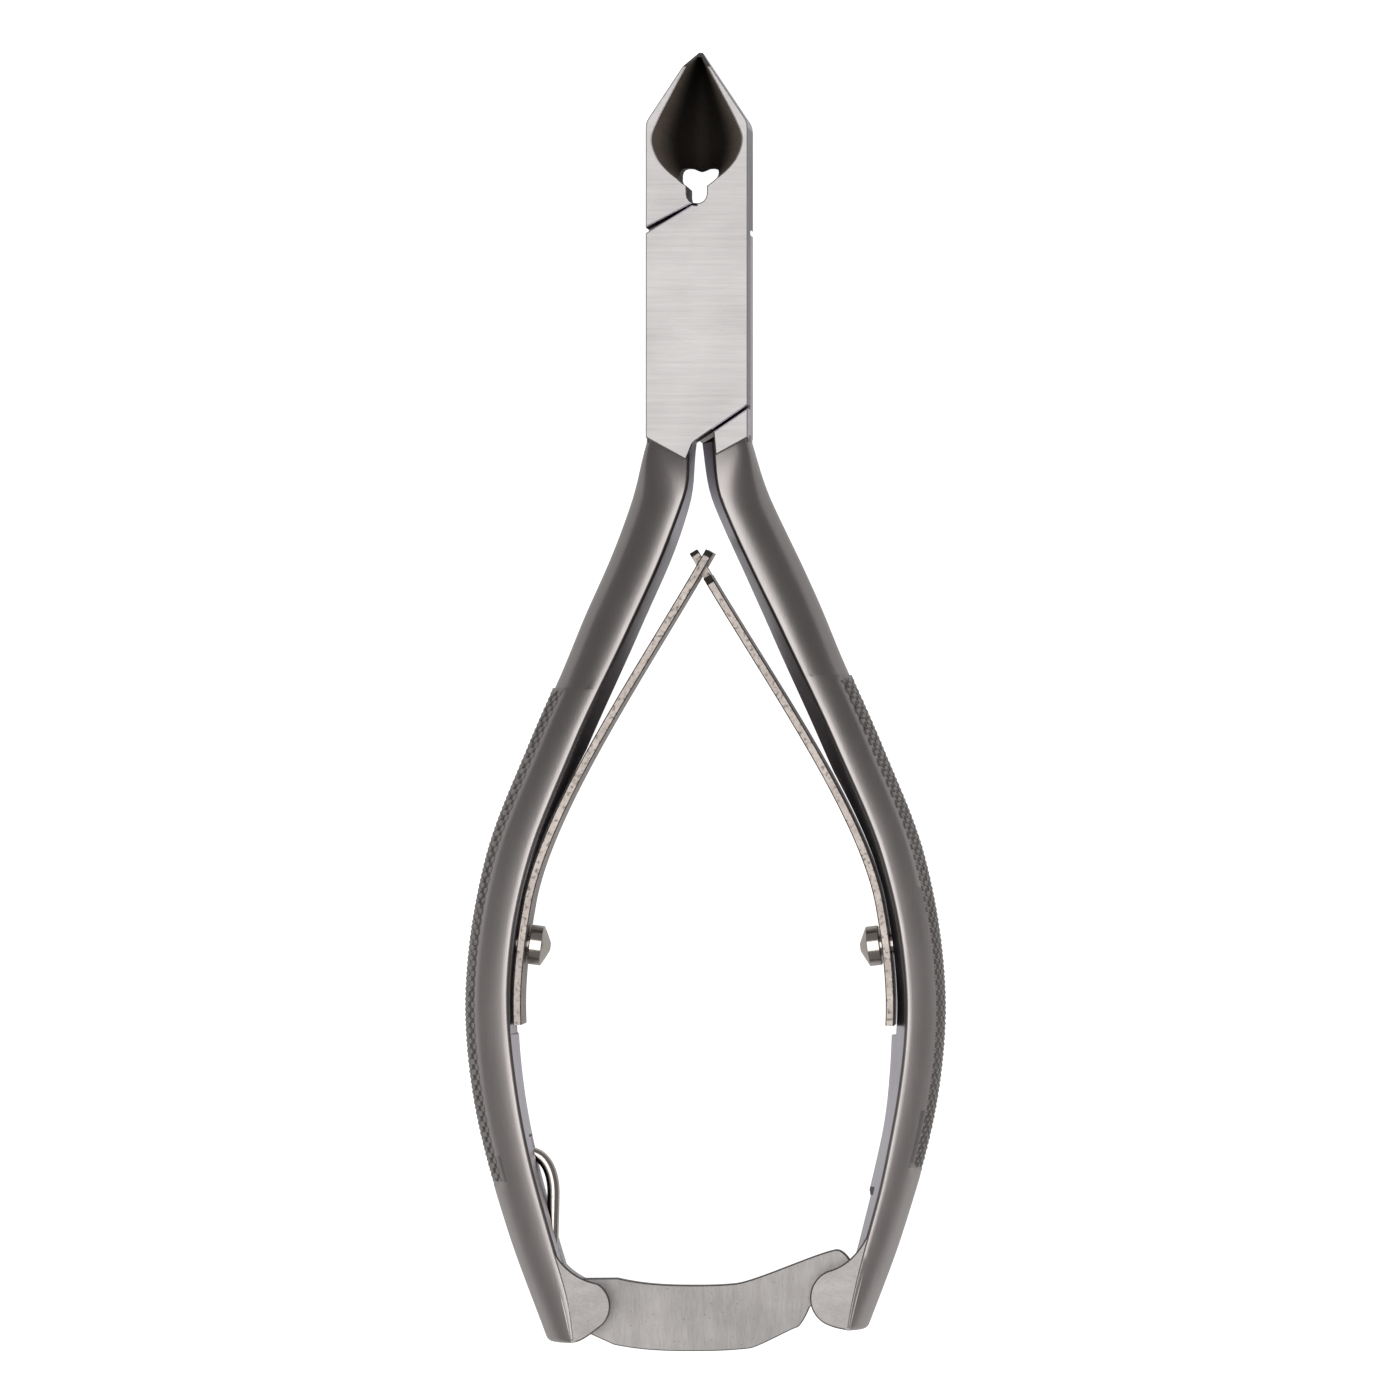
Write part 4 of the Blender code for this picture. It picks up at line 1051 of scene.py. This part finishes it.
def tipBoxMesh(side, start, low, high):
    slope = -side * spring["tipSlope"]
    long = hypot(slope, 1.0)
    along = (slope / long, 1.0 / long)
    square = (along[1], -along[0])
    cross = (handle["lean"] / 2, spring["crossY"])
    far = lever["far"]
    corners = [(cross[0] + along[0] * f + square[0] * s, cross[1] + along[1] * f + square[1] * s)
               for f, s in ((-start, -far / 2), (-start, far / 2), (far, far / 2), (far, -far / 2))]
    return slabMesh(corners, middle + low, middle + high)


def springCuts(side):
    tongue, start, dark = spring["tongue"] / 2, spring["shoulder"], spring["darkTip"]
    if side == left:
        gap = tongue + spring["tongueGap"]
        return [tipBoxMesh(side, start + spring["forkExtra"], -gap, gap)]
    wide, edge, endDrop = spring["footWidth"], spring["tipWidth"] / 2, spring["endDrop"]
    tipStart = dark - (spring["tipY"] - spring["crossY"]) * hypot(spring["tipSlope"], 1.0)
    steps = ((start, tongue), (start + dark, edge - endDrop), (tipStart, tongue - endDrop))
    return [tipBoxMesh(side, at, *span) for at, high in steps for span in ((-wide, -high), (high, wide))]


def makeSpring(name, node, side):
    piece = pieceFrom(name, stripMesh(side))
    carve(piece, [("DIFFERENCE", mesh) for mesh in [*springCuts(side), screwHoleMesh(side)]])
    tipFrom = spring["tipY"] - spring["darkTip"]
    shoulderY = spring["crossY"] - (spring["shoulder"] + spring["darkTip"] / 2) / hypot(spring["tipSlope"], 1.0)
    cheek = spring["tongue"] / 2 + spring["cheekGap"]

    # the spring ends and the right spring's cheeks beside its tongue are painted near black with the nose's finish
    def pick(centre, normal):
        shoulder = abs(centre[1] - shoulderY) < spring["darkTip"] and abs(centre[2] - middle) > cheek
        return 1 if centre[1] > tipFrom or (side == right and shoulder) else 0

    finishPiece(piece, None, node, [steels["springSteel"], steels["jawNose"]], pick)
    startY = spring["bendStartY"]
    stop = min(springLine(side, spring["footEndY"]), key=lambda p: abs(p[1] - spring["bendEndY"]))
    start, end = [(x * mm, y * mm, middle * mm) for x, y in ((footX(side, startY), startY), stop)]
    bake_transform(piece)
    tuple(start)
    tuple(end)


makeSpring("leftLeafSpring", "left_spring", left)
makeSpring("rightLeafSpring", "right_spring", right)
print("leaf springs made")


def makeScrew(name, node, side):
    under = spring["thickness"] / 2 + spring["seatGap"]
    inside = spring["seatGap"] - (screw["depth"] + under)
    r, top = screw["headRadius"], under + screw["headHeight"]
    (chamferR, chamferUp), (rimUp, rimR) = screw["headChamfer"], screw["rimChamfer"]
    coneShare, coneExtra = screw["coneRound"]
    peak = top + screw["coneHeight"]
    profile = [(inside, screw["shank"]), (under, screw["shank"]), (under, r - chamferR), (under + chamferUp, r),
               (top - rimUp, r), (top, r - rimR),
               (top + screw["coneHeight"] * coneShare, screw["coneTip"] + coneExtra), (peak, screw["coneTip"])]
    place = screwPlace(side)
    piece = pieceFrom(name, turnedMesh(profile, place, screw["sides"]))
    far, half = lever["far"], screw["slotWidth"] / 2
    rings = [[place(along, a, b) for a, b in ((-far, -half), (far, -half), (far, half), (-far, half))]
             for along in (peak - screw["slotDepth"], peak + beyond)]
    carve(piece, [("DIFFERENCE", loftMesh(rings))])
    finishPiece(piece, riveted[side], node, [steels["polishedSteel"]])


makeScrew("leftSpringScrew", "left_spring_screw", left)
makeScrew("rightSpringScrew", "right_spring_screw", right)
print("spring screws made")


# strap and its detent wire

strap = {
    "thickness": 1.5,
    "width": 7.1,
    "bowRadius": 43.0,
    "bowRise": 0.35,
    "heelRadius": 2.9,
    "catchGap": 0.3,
    "hookNose": 1.0,
    "hookDrop": 1.0,
    "headTop": (-0.5, 5.0),  # from the catch pin, as are low and corner
    "low": (-4.75, -3.4),
    "corner": (-3.45, -1.3),
    "pulls": [  # leaving and arriving slope of each curve round the hook end, and its steps
        ((3.6, 0.7), (2.2, 0.5), 16),
        ((1.4, 0.6), (0.6, 1.6), 10),
        ((0.6, 1.6), (2.6, 0.0), 8),
        ((-0.6, 3.4), (-4.0, 0.2), 14),
        ((-5.5, -0.6), (-7.0, -1.0), 20),
    ],
    "rivetShank": 1.1,
    "holeGap": 0.1,
    "settle": 0.29,         # how far the strap sags toward its rivet
    "settleX": 0.5,
    "settleRun": 9.0,
    "heelTurn": (214, 334),
    "lowerTurn": (5, 14),   # degrees from the rivet's and the pin's directions
    "upperTurn": (3.5, 15),
    "fine": 34,             # points along each long edge
    "chamfer": 0.12,
}


def angleOf(point, centre):
    return degrees(atan2(point[1] - centre[1], point[0] - centre[0]))


def hookOutline():
    rivet, catch = pinCentre[left], pinCentre[right]
    reach = hypot(catch[0] - rivet[0], catch[1] - rivet[1])
    atPin = angleOf(catch, rivet)
    mouth = catchRadius + strap["catchGap"]
    low, high = atPin - degrees(strap["hookDrop"] / reach), atPin + degrees(mouth / reach)
    return [*arc(rivet, reach - mouth, low, atPin, 3), *arc(catch, mouth, 180 + atPin, atPin, 18)[1:-1],
            *arc(rivet, reach + mouth, atPin, low, 3), *arc(rivet, reach + mouth + strap["hookNose"], low, high, 6)]


def strapOutline():
    rivet, catch = pinCentre[left], pinCentre[right]
    run, rise = catch[0] - rivet[0], catch[1] - rivet[1]
    chord = hypot(run, rise)
    height = (strap["bowRadius"] ** 2 - (chord / 2) ** 2) ** 0.5 + strap["bowRise"]
    bow = ((rivet[0] + catch[0]) / 2 - rise / chord * height, (rivet[1] + catch[1]) / 2 + run / chord * height)
    start, end = angleOf(rivet, bow), angleOf(catch, bow)
    half = strap["width"] / 2
    fine = strap["fine"]
    heel = arc(rivet, strap["heelRadius"], *[start + turn for turn in strap["heelTurn"]], fine - 2)
    (lowFrom, lowTo), (highFrom, highTo) = strap["lowerTurn"], strap["upperTurn"]
    lower = arc(bow, strap["bowRadius"] + half, start + lowFrom, end - lowTo, fine)
    upper = arc(bow, strap["bowRadius"] - half, end - highTo, start + highFrom, fine)
    lower, upper = [[(x, y - strap["settle"] * ease((strap["settleX"] - x) / strap["settleRun"])) for x, y in line]
                    for line in (lower, upper)]
    hook = hookOutline()
    low, corner, headTop = [(catch[0] + x, catch[1] + y) for x, y in (strap["low"], strap["corner"], strap["headTop"])]
    stops = ((lower[-1], low), (low, corner), (corner, hook[0]), (hook[-1], headTop), (headTop, upper[0]))
    under, turned, jaw, head, hump = [curveBetween(a, leave, b, arrive, steps)[1:]
                                      for (a, b), (leave, arrive, steps) in zip(stops, strap["pulls"])]
    return [*heel, *lower, *under, *turned, *jaw[:-1], *hook, *head, *hump[:-1], *upper]


def makeStrap():
    half = strap["thickness"] / 2
    piece = pieceFrom("lockStrapPlate", slabMesh(strapOutline(), middle - half, middle + half, strap["chamfer"]))
    hole = pinHoleMesh(pinCentre[left], middle - half, middle + half, strap["rivetShank"] + strap["holeGap"])
    carve(piece, [("DIFFERENCE", hole)])
    finishPiece(piece, "strap", "lock_strap", [steels["strapSteel"]])


makeStrap()

wire = {
    "radius": 0.67,
    "topDrop": 2.0,
    "topReach": 2.9,
    "bowReach": 0.87,
    "bowDrop": 4.3,
    "anchorGap": 0.5,
    "heelRadius": 3.5,
    "heelAngle": 132,
    "gap": 1.3,
    "sides": 24,
    "endShare": 0.8,
    "topPulls": ((6.5, 0.0), (0.0, -6.0), 30),
    "heelPulls": ((0.0, -5.0), (0.4, -3.0), 24),
}


def makeWire():
    top = endY[left] + slot["length"][left] - wire["topDrop"]
    bowY = top - wire["bowDrop"]
    bowX = innerX(left, bowY) + wire["bowReach"]
    reach = wire["heelRadius"] + wire["radius"] + wire["gap"]
    heel = arc(pinCentre[left], reach, wire["heelAngle"], wire["heelAngle"], 1)[0]
    anchor = (outerX(left, top) + slot["wall"] + wire["radius"] + wire["anchorGap"], top)
    hidden = (bowX - wire["topReach"], top)
    (leave, arrive, steps), (fall, last, more) = wire["topPulls"], wire["heelPulls"]
    line = [anchor, *curveBetween(hidden, leave, (bowX, bowY), arrive, steps),
            *curveBetween((bowX, bowY), fall, heel, last, more)[1:]]
    rings = []
    for i in range(len(line)):
        radius = wire["radius"] * (wire["endShare"] if i in (0, len(line) - 1) else 1.0)
        ring = []
        for s in range(wire["sides"]):
            t = 2 * pi * s / wire["sides"]
            x, y = besideLine(line, i, radius * cos(t))
            ring.append((x, y, middle + radius * sin(t)))
        rings.append(ring)
    piece = pieceFrom("lockWireSpring", loftMesh(rings))
    finishPiece(piece, "front_half", "lock_wire_spring", [steels["polishedSteel"]],
                sharp=50)


makeWire()
print("strap and wire made")


# floor, light and camera

studio = {
    "floorSize": 3.0,
    "floorDrop": 0.0002,
    "floorHaze": {"Size": 3.0, "Amount": 0.04, "Middle": 0.9},
    "floorTone": 0.62,
    "floorLight": 0.22,
    "floorGlow": 0.75,     # the floor shows almost white without throwing that light on the steel
    "overhead": {"height": 1.3, "size": (0.95, 1.3), "radiance": 2.3},
    "roomTone": (0.22, 0.213, 0.213),
    "lampTone": (1.0, 0.985, 0.98),
    "lookAt": (0.365, -41.1, 9.0),
    "distance": 900.0,
    "leanDegrees": 4.0,
    "frameWidth": 150.3,
    "sensor": 36.0,
    "clip": (0.01, 20.0),
    "aim": (0.0, -0.04, 0.0),
}


def makeFloor():
    half = studio["floorSize"] / 2
    data = bpy.data.meshes.new("studioFloor")
    corners = [(x * half, y * half, -studio["floorDrop"]) for x, y in ((-1, -1), (1, -1), (1, 1), (-1, 1))]
    data.from_pydata(corners, [], [(0, 1, 2, 3)])
    floor = bpy.data.objects.new("studioFloor", data)
    bpy.context.scene.collection.objects.link(floor)
    material = bpy.data.materials.new("paleFloor")
    material.use_nodes = True
    tree = material.node_tree
    shader = tree.nodes["Principled BSDF"]
    place = tree.nodes.new("ShaderNodeTexCoord").outputs["Object"]
    haze = groupNode(tree, polishHaze, studio["floorHaze"], Vector=place)
    tree.links.new(haze.outputs["Value"], shader.inputs["Roughness"])
    shader.inputs["Base Color"].default_value = (*[studio["floorTone"]] * 3, 1)
    shader.inputs["Specular IOR Level"].default_value = 0.0
    shader.inputs["Emission Color"].default_value = (1, 1, 1, 1)
    seen = tree.nodes.new("ShaderNodeLightPath").outputs["Is Camera Ray"]
    glow = mathNode(tree, "MULTIPLY_ADD", seen, studio["floorGlow"], studio["floorLight"])
    tree.links.new(glow, shader.inputs["Emission Strength"])
    data.materials.append(material)


def addSoftbox():
    overhead, aim = studio["overhead"], studio["aim"]
    wide, long = overhead["size"]
    data = bpy.data.lights.new("overheadSoftbox", "AREA")
    data.shape = "RECTANGLE"
    data.size, data.size_y = wide, long
    data.energy = overhead["radiance"] * pi * wide * long
    data.color = studio["lampTone"]
    box = bpy.data.objects.new("overheadSoftbox", data)
    box.location = (aim[0], aim[1], overhead["height"])
    box.rotation_euler = (Vector(aim) - box.location).to_track_quat("-Z", "Y").to_euler()
    box.visible_camera = False
    bpy.context.scene.collection.objects.link(box)


def makeStudio():
    makeFloor()
    addSoftbox()
    world = bpy.data.worlds.new("studioRoom")
    world.use_nodes = True
    background = world.node_tree.nodes["Background"]
    background.inputs["Color"].default_value = (*studio["roomTone"], 1)
    background.inputs["Strength"].default_value = 1.0
    bpy.context.scene.world = world
    data = bpy.data.cameras.new("frontCamera")
    camera = bpy.data.objects.new("frontCamera", data)
    lean = radians(studio["leanDegrees"])
    back = Vector((sin(lean), 0.0, cos(lean)))
    camera.location = (Vector(studio["lookAt"]) + back * studio["distance"]) * mm
    camera.rotation_euler = (0.0, lean, 0.0)
    data.sensor_width = studio["sensor"]
    data.lens = studio["sensor"] * studio["distance"] / studio["frameWidth"]
    data.clip_start, data.clip_end = studio["clip"]
    bpy.context.scene.collection.objects.link(camera)
    bpy.context.scene.camera = camera
    bpy.context.scene.view_settings.view_transform = "Standard"


makeStudio()
print("studio made")
